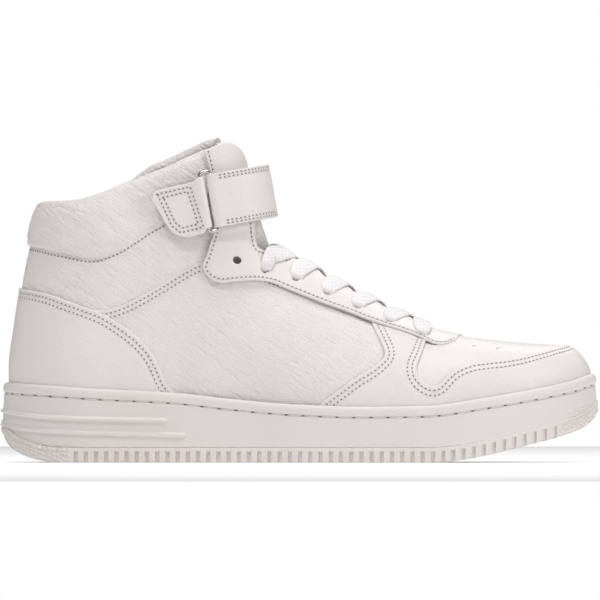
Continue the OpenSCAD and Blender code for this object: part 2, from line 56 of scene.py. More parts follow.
def curve(points):
    """A smooth function through (x, value) points that never overshoots between them."""
    xs, ys = np.array(points, float).T
    h, slope = np.diff(xs), np.diff(ys) / np.diff(xs)
    tangent = np.concatenate([[slope[0]], np.zeros(len(xs) - 2), [slope[-1]]])
    same = slope[:-1] * slope[1:] > 0
    w1, w2 = 2 * h[1:] + h[:-1], h[1:] + 2 * h[:-1]
    with np.errstate(divide="ignore", invalid="ignore"):
        inner = (w1 + w2) / (w1 / slope[:-1] + w2 / slope[1:])
    tangent[1:-1] = np.where(same, inner, 0)

    def at(x):
        x = np.clip(x, xs[0], xs[-1])
        i = np.clip(np.searchsorted(xs, x) - 1, 0, len(xs) - 2)
        t = (x - xs[i]) / h[i]
        a, b = ys[i], ys[i + 1]
        ta, tb = tangent[i] * h[i], tangent[i + 1] * h[i]
        return (a * (1 + 2 * t) * (1 - t) ** 2 + ta * t * (1 - t) ** 2
                + b * t ** 2 * (3 - 2 * t) - tb * t ** 2 * (1 - t))
    return at


def ease(t):
    t = np.clip(t, 0, 1)
    return t * t * (3 - 2 * t)


def mix(a, b, t):
    return a + (b - a) * t


def superarc(t, p):
    """1 at t = 0, falling to 0 at t = 1 along a superellipse."""
    return np.maximum(0, 1 - np.clip(t, 0, 1) ** p) ** (1 / p)


def unit(v):
    return v / np.maximum(np.linalg.norm(v, axis=-1, keepdims=True), 1e-12)


def noise(p, seed=0):
    """Smooth noise from -1 to 1 at points p, one bump per unit."""
    p = np.asarray(p, float)
    cell = np.floor(p).astype(np.int64)
    f = p - cell
    f = f * f * f * (f * (6 * f - 15) + 10)
    total = np.zeros(len(p))
    for corner in range(8):
        bit = np.array([corner & 1, corner >> 1 & 1, corner >> 2 & 1])
        c = cell + bit
        h = (c[:, 0] * 73856093) ^ (c[:, 1] * 19349663) ^ (c[:, 2] * 83492791) ^ (seed * 2654435761)
        h = (h ^ (h >> 13)) * 1274126177
        value = ((h ^ (h >> 16)) & 0xFFFF) / 32767.5 - 1
        weight = np.prod(np.where(bit, f, 1 - f), axis=1)
        total += weight * value
    return total


def resample(points, step, closed=False):
    """Points along a polyline at an even spacing close to step."""
    pts = np.array(points, float)
    if closed:
        pts = np.vstack([pts, pts[:1]])
    s = np.concatenate([[0], np.cumsum(np.linalg.norm(np.diff(pts, axis=0), axis=1))])
    n = max(2, int(round(s[-1] / step)))
    t = np.linspace(0, s[-1], n + 1)
    out = np.stack([np.interp(t, s, pts[:, k]) for k in range(pts.shape[1])], axis=1)
    return out[:-1] if closed else out


def spline(points, step=0.8):
    """An even polyline along a centripetal curve through the given points."""
    p = np.array(points, float)
    if len(p) < 3:
        return resample(p, step)
    p = np.vstack([2 * p[0] - p[1], p, 2 * p[-1] - p[-2]])
    out = []
    for i in range(1, len(p) - 2):
        a, b, c, d = p[i - 1:i + 3]
        t0, t1 = 0.0, np.linalg.norm(b - a) ** 0.5
        t2 = t1 + np.linalg.norm(c - b) ** 0.5
        t3 = t2 + np.linalg.norm(d - c) ** 0.5
        t = np.linspace(t1, t2, 12, endpoint=False)[:, None]
        a1 = (t1 - t) / (t1 - t0) * a + (t - t0) / (t1 - t0) * b
        a2 = (t2 - t) / (t2 - t1) * b + (t - t1) / (t2 - t1) * c
        a3 = (t3 - t) / (t3 - t2) * c + (t - t2) / (t3 - t2) * d
        b1 = (t2 - t) / (t2 - t0) * a1 + (t - t0) / (t2 - t0) * a2
        b2 = (t3 - t) / (t3 - t1) * a2 + (t - t1) / (t3 - t1) * a3
        out.append((t2 - t) / (t2 - t1) * b1 + (t - t1) / (t2 - t1) * b2)
    return resample(np.vstack(out + [p[-2:-1]]), step)


# ---- The lines of the shoe, side view: x and height ----

feather = curve([(-150, 41), (-103, 37.5), (-64, 35.5), (-35, 32.3), (0, 29.4), (31, 28.4), (62, 28.8),
                 (93, 33), (113, 36.6), (134, 41.3), (146, 45.5), (152, 46.5)])
ground_line = curve([(-150, 14), (-147, 9), (-141.6, 5), (-132, 1.3), (-122, 0), (66, 0), (79, 1),
                     (95, 4), (112, 8.3), (130, 12.9), (144, 18.5), (150, 24)])
board_line = curve([(-150, 27), (-100, 26), (-40, 22), (20, 17.5), (60, 17), (78, 18), (95, 20.5),
                    (112, 24), (130, 28.5), (150, 34)])
crest = curve([(-62, 262), (-36, 176), (-31, 159), (-27.5, 147), (-24.5, 136), (-20.5, 122),
               (-16.5, 112), (-10, 105), (0, 98.5), (14, 90), (31, 81), (48, 72.5), (68, 65), (82, 62.3),
               (104, 59.6), (116, 58.5), (129, 57.8), (133, 56.8), (137, 55.2), (140.5, 52), (144.1, 46.4)])
heel_back = curve([(20, -144), (49, -144.3), (58, -143.4), (67, -141.8), (76, -140), (84, -138.7),
                   (92, -137.7), (100, -136), (109, -133.8), (115, -132.5), (125, -131), (135, -129),
                   (165, -124)])
topline = curve([(-150, 129), (-128, 132), (-115, 132.5), (-104, 135), (-88, 141.3), (-76, 146),
                 (-70, 148.3), (-55, 155), (-46, 158.5), (-36, 160), (-29, 157)])
collar_seam = curve([(-150, 109), (-136, 109), (-118, 105.6), (-104, 103.2), (-95, 106), (-86, 111),
                     (-76, 117.7), (-68, 121.8), (-50, 130.5), (-40, 134)])
lateral_half = curve([(-150, 32), (-100, 33.5), (-60, 34), (-30, 36), (0, 41), (30, 46.3), (58, 48.5)])
medial_half = curve([(-150, 32), (-100, 32.5), (-60, 30.3), (-30, 31.5), (0, 35.5), (30, 42.5),
                     (58, 46.5)])
ankle_taper = curve([(30, 1), (50, 1.02), (70, 0.97), (90, 0.91), (105, 0.885), (125, 0.87),
                     (165, 0.85)])
section_power = curve([(-60, 2.2), (-20, 2.1), (10, 1.9), (60, 2), (100, 2.4), (144, 2.4)])

TOE_START, TOE_TIP, TOE_POWER = 58, 144.1, 2.4
HEEL_ROUND, TOE_INSET, PLAN_SHIFT = 42, 8, -1.8
SOLE_OUT, TREAD = 5.8, 7.5


def centre(x):
    return PLAN_SHIFT + TOE_INSET * np.maximum(0, (x + 20) / (TOE_TIP + 20)) ** 1.6


def half_table(x, side):
    return np.where(side < 0, lateral_half(x), medial_half(x))


def plan_half(x, side, d=0.0):
    front = superarc((x - TOE_START) / (TOE_TIP + d - TOE_START), TOE_POWER)
    return (half_table(np.minimum(x, TOE_START), side) + d) * np.where(x > TOE_START, front, 1)


def heel_share(x, z, d=0.0):
    return superarc(1 - (x - heel_back(z) + d) / HEEL_ROUND, 2.2)


def taper(x, z):
    return 1 + (ankle_taper(z) - 1) * ease((20 - x) / 60)


def half_at(x, z, side):
    low = feather(x)
    share = np.maximum(0, (z - low) / np.maximum(0.5, crest(x) - low))
    return plan_half(x, side) * taper(x, z) * superarc(share, section_power(x)) * heel_share(x, z)


# ---- Charts: smooth sheets with two coordinates in millimetres ----

class Chart:
    """A sheet given by rows of points: u counts along the rows' rim, v is the length up each row."""

    def __init__(self, u, points):
        self.u, self.p = u, points
        step = np.linalg.norm(np.diff(points, axis=1), axis=2)
        self.v = np.concatenate([np.zeros((len(u), 1)), np.cumsum(step, axis=1)], axis=1)
        du = np.gradient(points, axis=0)
        dv = np.gradient(points, axis=1)
        self.n = unit(np.cross(du, dv))

    def at(self, u, v, d=0.0):
        """Points at (u, v), moved d outwards. Below the rim the wall goes straight down."""
        u, v = np.asarray(u, float), np.asarray(v, float)
        rows = np.interp(u, self.u, np.arange(len(self.u)))
        i = np.clip(rows.astype(int), 0, len(self.u) - 2)
        f = rows - i
        total_p, total_n = 0, 0
        for k, weight in ((i, 1 - f), (i + 1, f)):
            p, n = self._row(k, np.maximum(v, 0))
            total_p = total_p + p * weight[:, None]
            total_n = total_n + n * weight[:, None]
        p, n = total_p, unit(total_n)
        below = v < 0
        p[below, 2] += v[below]
        return p + n * np.asarray(d, float).reshape(-1, 1), n

    def _row(self, k, v):
        big = self.v.max() * 2 + 1
        flat = (self.v + np.arange(len(self.u))[:, None] * big).ravel()
        v = np.minimum(v, self.v[k, -1] - 1e-6)
        j = np.clip(np.searchsorted(flat, v + k * big, side="right") - 1 - k * self.v.shape[1],
                    0, self.v.shape[1] - 2)
        t = ((v - self.v[k, j]) / np.maximum(1e-9, self.v[k, j + 1] - self.v[k, j]))[:, None]
        return mix(self.p[k, j], self.p[k, j + 1], t), mix(self.n[k, j], self.n[k, j + 1], t)

    def find(self, targets, side, axes=(0, 2)):
        """(u, v) of the points of one side that lie nearest the targets, seen along the axis left out."""
        axes = list(axes)
        gap = (self.p[:, :, 1] - centre(self.p[:, :, 0])) * side
        ok = (gap > -0.01).ravel()
        flat = self.p[:, :, axes].reshape(-1, 2)[ok]
        uu = np.repeat(self.u, self.v.shape[1])[ok]
        vv = self.v.ravel()[ok]
        rim = gap[:, 0] > -0.01
        order = np.argsort(self.p[rim, 0, 0])
        out = []
        for t in np.asarray(targets, float):
            if axes == [0, 2] and t[1] < feather(t[0]) + 0.2:
                u = np.interp(t[0], self.p[rim, 0, 0][order], self.u[rim][order])
                out.append((u, t[1] - feather(t[0])))
                continue
            k = ((flat - t) ** 2).sum(1).argmin()
            u, v, e = uu[k], vv[k], 0.4
            for _ in range(3):
                q = self.at([u, u + e, u], [v, v, v + e])[0][:, axes]
                m = np.array([q[1] - q[0], q[2] - q[0]]).T / e
                if abs(np.linalg.det(m)) < 1e-3:
                    break
                step = np.clip(np.linalg.solve(m, t - q[0]), -1, 1)
                u, v = u + step[0], max(0, v + step[1])
            out.append((u, v))
        return np.array(out)


def wrap_chart():
    """The back and both sides: u runs from the outer side round the heel to the inner side."""
    bend, reach, top = 34.0, 62.0, 168.0
    w_end = reach - heel_back(41.0) + bend / 2
    w = np.concatenate([np.linspace(-w_end, -60, 300), np.linspace(-60, 60, 301)[1:-1],
                        np.linspace(60, w_end, 300)])
    ahead = np.where(np.abs(w) < bend, w * w / (2 * bend), np.abs(w) - bend / 2)
    share = np.linspace(0, 1, 320)
    x_rim = heel_back(41.0) + ahead
    lean = 1 - ease((x_rim + 100) / 80)
    points = np.zeros((len(w), len(share), 3))
    low = feather(x_rim)
    z = low[:, None] + (top - low)[:, None] * share[None, :]
    x = x_rim[:, None] + (heel_back(z) - heel_back(41.0)) * lean[:, None]
    z = np.minimum(z, crest(x) - 0.02)
    side = np.where(w < 0, LATERAL, MEDIAL)[:, None] * np.ones_like(x)
    points[:, :, 0] = x
    points[:, :, 1] = centre(x) + side * half_at(x, z, side)
    points[:, :, 2] = z
    chart = Chart(w, points)
    chart.n = -chart.n
    return chart


def front_chart(side):
    """One side of the front: u is the length along the rim from x = -62, v goes up to the ridge."""
    x_line = np.concatenate([np.linspace(-62, TOE_START, 240),
                             TOE_START + (TOE_TIP - TOE_START) * np.sin(np.linspace(0, math.pi / 2, 400)[1:])])
    rim = np.stack([x_line, centre(x_line) + side * plan_half(x_line, side)], axis=1)
    rim = resample(rim, 0.5)
    length = np.concatenate([[0], np.cumsum(np.linalg.norm(np.diff(rim, axis=0), axis=1))])
    apex_x = np.where(rim[:, 0] < TOE_START, rim[:, 0], TOE_START + (rim[:, 0] - TOE_START) * 0.78)
    apex = np.stack([apex_x, centre(apex_x)], axis=1)
    q = np.cos(np.linspace(0, math.pi / 2, 260))
    plan = apex[:, None, :] + (rim - apex)[:, None, :] * q[None, :, None]
    x, y = plan[:, :, 0], plan[:, :, 1]
    low = feather(x)
    share = np.abs(y - centre(x)) / np.maximum(0.1, plan_half(x, side * np.ones_like(x)))
    share = np.where(np.arange(len(q))[None, :] == 0, 1, share)
    z = low + np.maximum(0, crest(x) - low) * superarc(share, section_power(x))
    y = centre(x) + (y - centre(x)) * taper(x, z)
    points = np.stack([x, y, z], axis=2)
    chart = Chart(length, points)
    if side > 0:
        chart.n = -chart.n
    return chart


# ---- Meshes ----

def make(name, verts, faces, materials, body="shoe", face_materials=None, sharp=42):
    """A mesh object from points in millimetres, smooth but for edges sharper than sharp degrees."""
    mesh = bpy.data.meshes.new(name)
    mesh.from_pydata([tuple(v) for v in np.asarray(verts, float) * MM], [], [list(map(int, f)) for f in faces])
    mesh.polygons.foreach_set("use_smooth", [True] * len(mesh.polygons))
    if face_materials is not None:
        mesh.polygons.foreach_set("material_index", [int(m) for m in face_materials])
    mesh.update()
    mesh.validate()
    mesh.set_sharp_from_angle(angle=math.radians(sharp))
    for material in materials:
        mesh.materials.append(material)
    obj = bpy.data.objects.new(name, mesh)
    bpy.context.scene.collection.objects.link(obj)
    if body:
        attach(obj, body)
    return obj


def grid_faces(rows, columns, closed=False, start=0, flip=False):
    """Quads over a grid stored row by row; closed joins the last column to the first."""
    faces = []
    for i in range(rows - 1):
        for j in range(columns if closed else columns - 1):
            k = (j + 1) % columns
            f = (start + i * columns + j, start + i * columns + k,
                 start + (i + 1) * columns + k, start + (i + 1) * columns + j)
            faces.append(f[::-1] if flip else f)
    return faces


def sheet_solid(name, outer, inner, materials, **more):
    """A closed sheet between two grids of points."""
    rows, columns = outer.shape[:2]
    n = rows * columns
    verts = np.vstack([outer.reshape(-1, 3), inner.reshape(-1, 3)])
    rim = ([(0, j) for j in range(columns)] + [(i, columns - 1) for i in range(1, rows)]
           + [(rows - 1, j) for j in range(columns - 2, -1, -1)] + [(i, 0) for i in range(rows - 2, 0, -1)])
    ids = [i * columns + j for i, j in rim]
    walls = [(a, a + n, b + n, b) for a, b in zip(ids, ids[1:] + ids[:1])]
    faces = grid_faces(rows, columns) + grid_faces(rows, columns, start=n, flip=True) + walls
    obj = make(name, verts, faces, materials, **more)
    face_out(obj)
    return obj


def face_out(obj):
    """Turns a closed mesh's faces outwards."""
    bm = bmesh.new()
    bm.from_mesh(obj.data)
    bmesh.ops.recalc_face_normals(bm, faces=bm.faces)
    bm.to_mesh(obj.data)
    bm.free()


def inside(points, loop):
    """Which 2D points lie inside a closed loop."""
    x, y = points[:, 0][:, None], points[:, 1][:, None]
    a, b = loop, np.roll(loop, -1, axis=0)
    crosses = (a[:, 1] > y) != (b[:, 1] > y)
    with np.errstate(divide="ignore", invalid="ignore"):
        at = (b[:, 0] - a[:, 0]) * (y - a[:, 1]) / (b[:, 1] - a[:, 1]) + a[:, 0]
    return (crosses & (x < at)).sum(1) % 2 == 1


def distance(points, line, closed=False):
    """Distance from each point to a polyline, in any number of dimensions."""
    a = line if closed else line[:-1]
    b = np.roll(line, -1, axis=0) if closed else line[1:]
    out = np.full(len(points), 1e9)
    ab = b - a
    length = np.maximum((ab ** 2).sum(1), 1e-12)
    for i in range(0, len(points), 2000):
        p = points[i:i + 2000]
        t = np.clip(((p[:, None, :] - a[None]) * ab[None]).sum(2) / length, 0, 1)
        near = a[None] + ab[None] * t[:, :, None]
        out[i:i + 2000] = np.sqrt(((p[:, None, :] - near) ** 2).sum(2).min(1))
    return out


def offset_line(line, d):
    """An open 2D line moved d to its left, without the loops that tight corners make."""
    tangent = unit(np.gradient(line, axis=0))
    moved = line + d * np.stack([-tangent[:, 1], tangent[:, 0]], axis=1)
    keep = distance(moved, line) > 0.97 * abs(d)
    return moved[keep]


def area_sign(loop):
    x, y = loop[:, 0], loop[:, 1]
    return np.sign((x * np.roll(y, -1) - np.roll(x, -1) * y).sum())


INSETS = (0.12, 0.3, 0.55, 0.9, 1.4, 2.0, 2.8)


def even_points(loop, spacing):
    """A triangular grid of points over the box of a loop."""
    low, high = loop.min(0), loop.max(0)
    row = 0.866
    nx, ny = int((high[0] - low[0]) / spacing) + 2, int((high[1] - low[1]) / (spacing * row)) + 2
    gx, gy = np.meshgrid(np.arange(nx), np.arange(ny))
    return np.stack([(gx + 0.5 * (gy % 2)) * spacing, gy * spacing * row], axis=-1).reshape(-1, 2) + low


def triangulate(loop, holes=(), spacing=1.6):
    """A 2D triangle mesh inside a loop, finer near its edge. Returns points and triangles."""
    left = area_sign(loop)
    rings = []
    for k, e in enumerate(INSETS):
        closed = np.vstack([loop[-3:], loop, loop[:3]])
        ring = offset_line(closed, e * left)
        ring = ring[::1 if k < 3 else 2]
        rings.append(ring)
    cloud = even_points(loop, spacing)
    cloud = cloud[inside(cloud, loop)]
    cloud = cloud[distance(cloud, loop, True) > INSETS[-1] + 0.7]
    rings = [r[inside(r, loop)] for r in rings]
    for hole in holes:
        cloud = cloud[distance(cloud, hole, True) > 0.9]
        cloud = cloud[~inside(cloud, hole)]
        rings = [r[(distance(r, hole, True) > 0.6) & ~inside(r, hole)] for r in rings]
        out = unit(hole - hole.mean(0))
        cloud = np.vstack([cloud, hole + out * 0.35])
    loops = [loop] + list(holes)
    points, edges = [], []
    for each in loops:
        start = len(points)
        points += [tuple(p) for p in each]
        edges += [(start + i, start + (i + 1) % len(each)) for i in range(len(each))]
    points += [tuple(p) for r in rings for p in r] + [tuple(p) for p in cloud]
    verts, _, faces, *_ = delaunay_2d_cdt([Vector(p) for p in points], edges, [], 0, 1e-4)
    verts = np.array([tuple(v) for v in verts])
    faces = np.array([f for f in faces if len(f) == 3])
    middle = verts[faces].mean(1)
    keep = inside(middle, loop)
    for hole in holes:
        keep &= ~inside(middle, hole)
    faces = faces[keep]
    used, index = np.unique(faces, return_inverse=True)
    return verts[used], index.reshape(-1, 3)


# ---- Materials ----

def new_material(name):
    material = bpy.data.materials.new(name)
    material.use_nodes = True
    tree = material.node_tree
    shader = tree.nodes["Principled BSDF"]
    return material, tree, shader


def node(tree, kind, links=(), **values):
    """Adds a node; values whose name is an input's set that input, others set the node itself."""
    n = tree.nodes.new(kind)
    for key, value in values.items():
        label = key.replace("_", " ")
        found = [i for i in n.inputs if i.name.lower() == label.lower()]
        if found:
            found[0].default_value = value
        else:
            setattr(n, key, value)
    for source, target in links:
        tree.links.new(source, n.inputs[target])
    return n


def ramp(tree, source, stops):
    n = node(tree, "ShaderNodeValToRGB", [(source, "Fac")])
    while len(n.color_ramp.elements) < len(stops):
        n.color_ramp.elements.new(0.5)
    for element, (at, colour) in zip(n.color_ramp.elements, stops):
        element.position = at
        element.color = (*colour, 1) if len(colour) == 3 else (colour[0],) * 3 + (1,)
    return n


def place(tree, turn=(0, 0, 0), scale=(1, 1, 1)):
    """Object coordinates in metres, turned and stretched."""
    coords = node(tree, "ShaderNodeTexCoord").outputs["Object"]
    turned = node(tree, "ShaderNodeMapping", [(coords, "Vector")],
                  Rotation=tuple(math.radians(a) for a in turn))
    scaled = node(tree, "ShaderNodeMapping", [(turned.outputs["Vector"], "Vector")], Scale=scale)
    return scaled.outputs["Vector"]


def leather(name, colour, grain=0.35, crease=0.3, turn=-35, depth=0.0003, rough=0.46):
    """Coated leather: fine pebbles, pores, soft tonal clouds and short wrinkles that run one way; the grooves between
    the pebbles get painted shade.
    """
    material, tree, shader = new_material(name)
    flat = place(tree)
    slanted = place(tree, (0, turn, 0), (1, 1, 2.8))
    warp = node(tree, "ShaderNodeTexNoise", [(flat, "Vector")], Scale=160, Detail=2)
    bent = node(tree, "ShaderNodeVectorMath", [(warp.outputs["Color"], 0)], operation="SCALE", Scale=0.004)
    moved = node(tree, "ShaderNodeVectorMath", [(slanted, 0), (bent.outputs[0], 1)], operation="ADD")
    cells = node(tree, "ShaderNodeTexVoronoi", [(moved.outputs[0], "Vector")],
                 feature="DISTANCE_TO_EDGE", Scale=430)
    plump = ramp(tree, cells.outputs["Distance"], [(0.0, (0,)), (0.16, (0.75,)), (0.5, (1,))])
    pores = node(tree, "ShaderNodeTexNoise", [(flat, "Vector")], Scale=2400, Detail=3)
    long = place(tree, (0, turn, 0), (1, 1, 4.2))
    drawn = node(tree, "ShaderNodeVectorMath", [(long, 0), (bent.outputs[0], 1)], operation="ADD")
    folds = node(tree, "ShaderNodeTexNoise", [(drawn.outputs[0], "Vector")], Scale=125, Detail=1.6,
                 Distortion=0.5)
    sharp = ramp(tree, folds.outputs["Fac"], [(0.3, (0,)), (0.5, (0.8,)), (0.75, (1,))])
    patches = node(tree, "ShaderNodeTexNoise", [(flat, "Vector")], Scale=38, Detail=2)
    where = ramp(tree, patches.outputs["Fac"], [(0.35, (0.45,)), (0.65, (1,))])
    fold = node(tree, "ShaderNodeMath", [(sharp.outputs["Color"], 0), (where.outputs["Color"], 1)],
                operation="MULTIPLY")
    sum1 = node(tree, "ShaderNodeMath", [(plump.outputs["Color"], 0)], operation="MULTIPLY")
    sum1.inputs[1].default_value = grain
    sum2 = node(tree, "ShaderNodeMath", [(pores.outputs["Fac"], 0), (sum1.outputs[0], 2)],
                operation="MULTIPLY_ADD")
    sum2.inputs[1].default_value = 0.12
    sum3 = node(tree, "ShaderNodeMath", [(fold.outputs[0], 0), (sum2.outputs[0], 2)],
                operation="MULTIPLY_ADD")
    sum3.inputs[1].default_value = crease
    bump = node(tree, "ShaderNodeBump", [(sum3.outputs[0], "Height")], Strength=1.0, Distance=depth)
    clouds = node(tree, "ShaderNodeTexNoise", [(flat, "Vector")], Scale=22, Detail=3)
    dark = tuple(c * f for c, f in zip(colour, (0.965, 0.95, 0.945)))
    tone = ramp(tree, clouds.outputs["Fac"], [(0.3, dark), (0.7, colour)])
    # Painted shade: the colour is darkened at the cell edges, the low grooves of the pebble grain, where shadow would
    # fall.
    groove = ramp(tree, cells.outputs["Distance"], [(0.0, (0.90, 0.87, 0.86)), (0.1, (1, 1, 1))])
    shade = node(tree, "ShaderNodeMix", data_type="RGBA", blend_type="MULTIPLY")
    shade.inputs[0].default_value = min(1.0, grain * 2)
    tree.links.new(tone.outputs["Color"], shade.inputs[6])
    tree.links.new(groove.outputs["Color"], shade.inputs[7])
    shine = ramp(tree, clouds.outputs["Fac"], [(0.25, (rough - 0.05,)), (0.75, (rough + 0.07,))])
    tree.links.new(shade.outputs[2], shader.inputs["Base Color"])
    tree.links.new(shine.outputs["Color"], shader.inputs["Roughness"])
    tree.links.new(bump.outputs["Normal"], shader.inputs["Normal"])
    shader.inputs["Specular IOR Level"].default_value = 0.42
    return material


def rubber(name, colour, rough=0.55, grain=0.25):
    """Moulded rubber: a faint orange-peel, soft scuffs and clouded tone."""
    material, tree, shader = new_material(name)
    flat = place(tree)
    streak = place(tree, (0, 2, 0), (0.35, 0.35, 2.2))
    peel = node(tree, "ShaderNodeTexNoise", [(flat, "Vector")], Scale=1400, Detail=3)
    brushed = node(tree, "ShaderNodeTexNoise", [(streak, "Vector")], Scale=420, Detail=3)
    height = node(tree, "ShaderNodeMath", [(peel.outputs["Fac"], 0), (brushed.outputs["Fac"], 1)],
                  operation="ADD")
    bump = node(tree, "ShaderNodeBump", [(height.outputs[0], "Height")], Strength=grain, Distance=0.00018)
    clouds = node(tree, "ShaderNodeTexNoise", [(flat, "Vector")], Scale=14, Detail=4)
    dark = tuple(c * f for c, f in zip(colour, (0.95, 0.94, 0.925)))
    tone = ramp(tree, clouds.outputs["Fac"], [(0.3, dark), (0.68, colour)])
    shine = ramp(tree, brushed.outputs["Fac"], [(0.3, (rough - 0.06,)), (0.7, (rough + 0.08,))])
    tree.links.new(tone.outputs["Color"], shader.inputs["Base Color"])
    tree.links.new(shine.outputs["Color"], shader.inputs["Roughness"])
    tree.links.new(bump.outputs["Normal"], shader.inputs["Normal"])
    shader.inputs["Specular IOR Level"].default_value = 0.35
    return material


def woven(name, colour, pitch=0.55, rough=0.82, turn=(0, 0, 0), depth=0.00025):
    """Woven or knitted textile: two crossing families of threads with a little fuzz; the low gaps between the threads
    are darkened as painted shade.
    """
    material, tree, shader = new_material(name)
    flat = place(tree, turn)
    scale = 1000 / pitch
    across = node(tree, "ShaderNodeTexWave", [(flat, "Vector")], Scale=scale / 6.283 / 2, Distortion=0.6,
                  bands_direction="X", **{"Detail": 1.0})
    along = node(tree, "ShaderNodeTexWave", [(flat, "Vector")], Scale=scale / 6.283 / 2, Distortion=0.6,
                 bands_direction="Z", **{"Detail": 1.0})
    cross = node(tree, "ShaderNodeMath", [(across.outputs["Fac"], 0), (along.outputs["Fac"], 1)],
                 operation="MAXIMUM")
    fuzz = node(tree, "ShaderNodeTexNoise", [(flat, "Vector")], Scale=3000, Detail=3)
    height = node(tree, "ShaderNodeMath", [(fuzz.outputs["Fac"], 0), (cross.outputs[0], 2)],
                  operation="MULTIPLY_ADD")
    height.inputs[1].default_value = 0.4
    bump = node(tree, "ShaderNodeBump", [(height.outputs[0], "Height")], Strength=0.6, Distance=depth)
    # Painted shade: the colour darkens where the threads' bump height is low, in the gaps between them.
    dark = tuple(c * 0.93 for c in colour)
    tone = ramp(tree, cross.outputs[0], [(0.15, dark), (0.8, colour)])
    tree.links.new(tone.outputs["Color"], shader.inputs["Base Color"])
    tree.links.new(bump.outputs["Normal"], shader.inputs["Normal"])
    shader.inputs["Roughness"].default_value = rough
    shader.inputs["Sheen Weight"].default_value = 0.25
    return material


def thread_material(name, colour):
    """Twisted sewing thread, with painted shade darkening the grooves of the twist."""
    material, tree, shader = new_material(name)
    flat = place(tree, (0, 0, 0), (1, 1, 1))
    twist = node(tree, "ShaderNodeTexWave", [(flat, "Vector")], Scale=420, Distortion=1.5,
                 bands_direction="DIAGONAL")
    bump = node(tree, "ShaderNodeBump", [(twist.outputs["Fac"], "Height")], Strength=0.5, Distance=0.0001)
    # Painted shade: the colour darkens in the low grooves of the twist, following the bump.
    tone = ramp(tree, twist.outputs["Fac"], [(0.1, tuple(c * 0.88 for c in colour)), (0.7, colour)])
    tree.links.new(tone.outputs["Color"], shader.inputs["Base Color"])
    tree.links.new(bump.outputs["Normal"], shader.inputs["Normal"])
    shader.inputs["Roughness"].default_value = 0.6
    return material


def painted_hole_shade_material(name, colour):
    """Painted shade: a flat dark colour that stands in for the shaded inside of a needle hole or a punched hole."""
    material, tree, shader = new_material(name)
    flat = place(tree)
    grit = node(tree, "ShaderNodeTexNoise", [(flat, "Vector")], Scale=1800, Detail=2)
    tone = ramp(tree, grit.outputs["Fac"], [(0.3, tuple(c * 0.8 for c in colour)), (0.7, colour)])
    tree.links.new(tone.outputs["Color"], shader.inputs["Base Color"])
    shader.inputs["Roughness"].default_value = 0.9
    return material


def metal(name):
    """Polished plated steel with hairline scratches."""
    material, tree, shader = new_material(name)
    flat = place(tree, (0, 0, 0), (1, 1, 6))
    hair = node(tree, "ShaderNodeTexNoise", [(flat, "Vector")], Scale=900, Detail=4)
    tone = ramp(tree, hair.outputs["Fac"], [(0.3, (0.50, 0.50, 0.51)), (0.7, (0.66, 0.66, 0.67))])
    shine = ramp(tree, hair.outputs["Fac"], [(0.3, (0.16,)), (0.7, (0.30,))])
    bump = node(tree, "ShaderNodeBump", [(hair.outputs["Fac"], "Height")], Strength=0.1, Distance=0.00005)
    tree.links.new(tone.outputs["Color"], shader.inputs["Base Color"])
    tree.links.new(shine.outputs["Color"], shader.inputs["Roughness"])
    tree.links.new(bump.outputs["Normal"], shader.inputs["Normal"])
    shader.inputs["Metallic"].default_value = 1.0
    return material


WHITE = (0.81, 0.768, 0.753)
SMOOTH = leather("smooth_leather", WHITE, grain=0.12, crease=0.22, depth=0.00035, rough=0.44)
GRAINED = leather("grained_leather", (0.85, 0.81, 0.795), grain=0.30, crease=0.6, depth=0.00055)
CREASED = leather("collar_leather", (0.85, 0.81, 0.795), grain=0.30, crease=0.85, depth=0.00055)
STRAP = leather("strap_leather", (0.815, 0.775, 0.755), grain=0.14, crease=0.22, depth=0.0003, rough=0.45)
RUBBER = rubber("sole_rubber", (0.755, 0.71, 0.69))
TREAD_RUBBER = rubber("tread_rubber", (0.755, 0.705, 0.68), rough=0.62, grain=0.4)
LINING = woven("lining_textile", (0.80, 0.79, 0.775), pitch=0.8)
LACE = woven("lace_textile", (0.84, 0.815, 0.825), pitch=0.45, rough=0.8, depth=0.0002)
FLEECE = woven("hook_and_loop", (0.80, 0.79, 0.78), pitch=0.9, rough=0.95, depth=0.0006)
THREAD = thread_material("sewing_thread", (0.84, 0.81, 0.79))
# Painted shade for the flat discs laid over each needle hole.
HOLE_SHADE = painted_hole_shade_material("needle_hole_painted_shade", (0.20, 0.17, 0.155))
METAL = metal("ring_metal")


# ---- Leather panels and their stitches ----

WRAP = wrap_chart()
FRONT = {LATERAL: front_chart(LATERAL), MEDIAL: front_chart(MEDIAL)}
LEATHER = 1.1
LAYER = [0.3, 1.7, 3.1]


def sag(p, amount, size, seed):
    """Soft hand-sized unevenness of leather pulled over a last."""
    return amount * noise(p / size, seed)


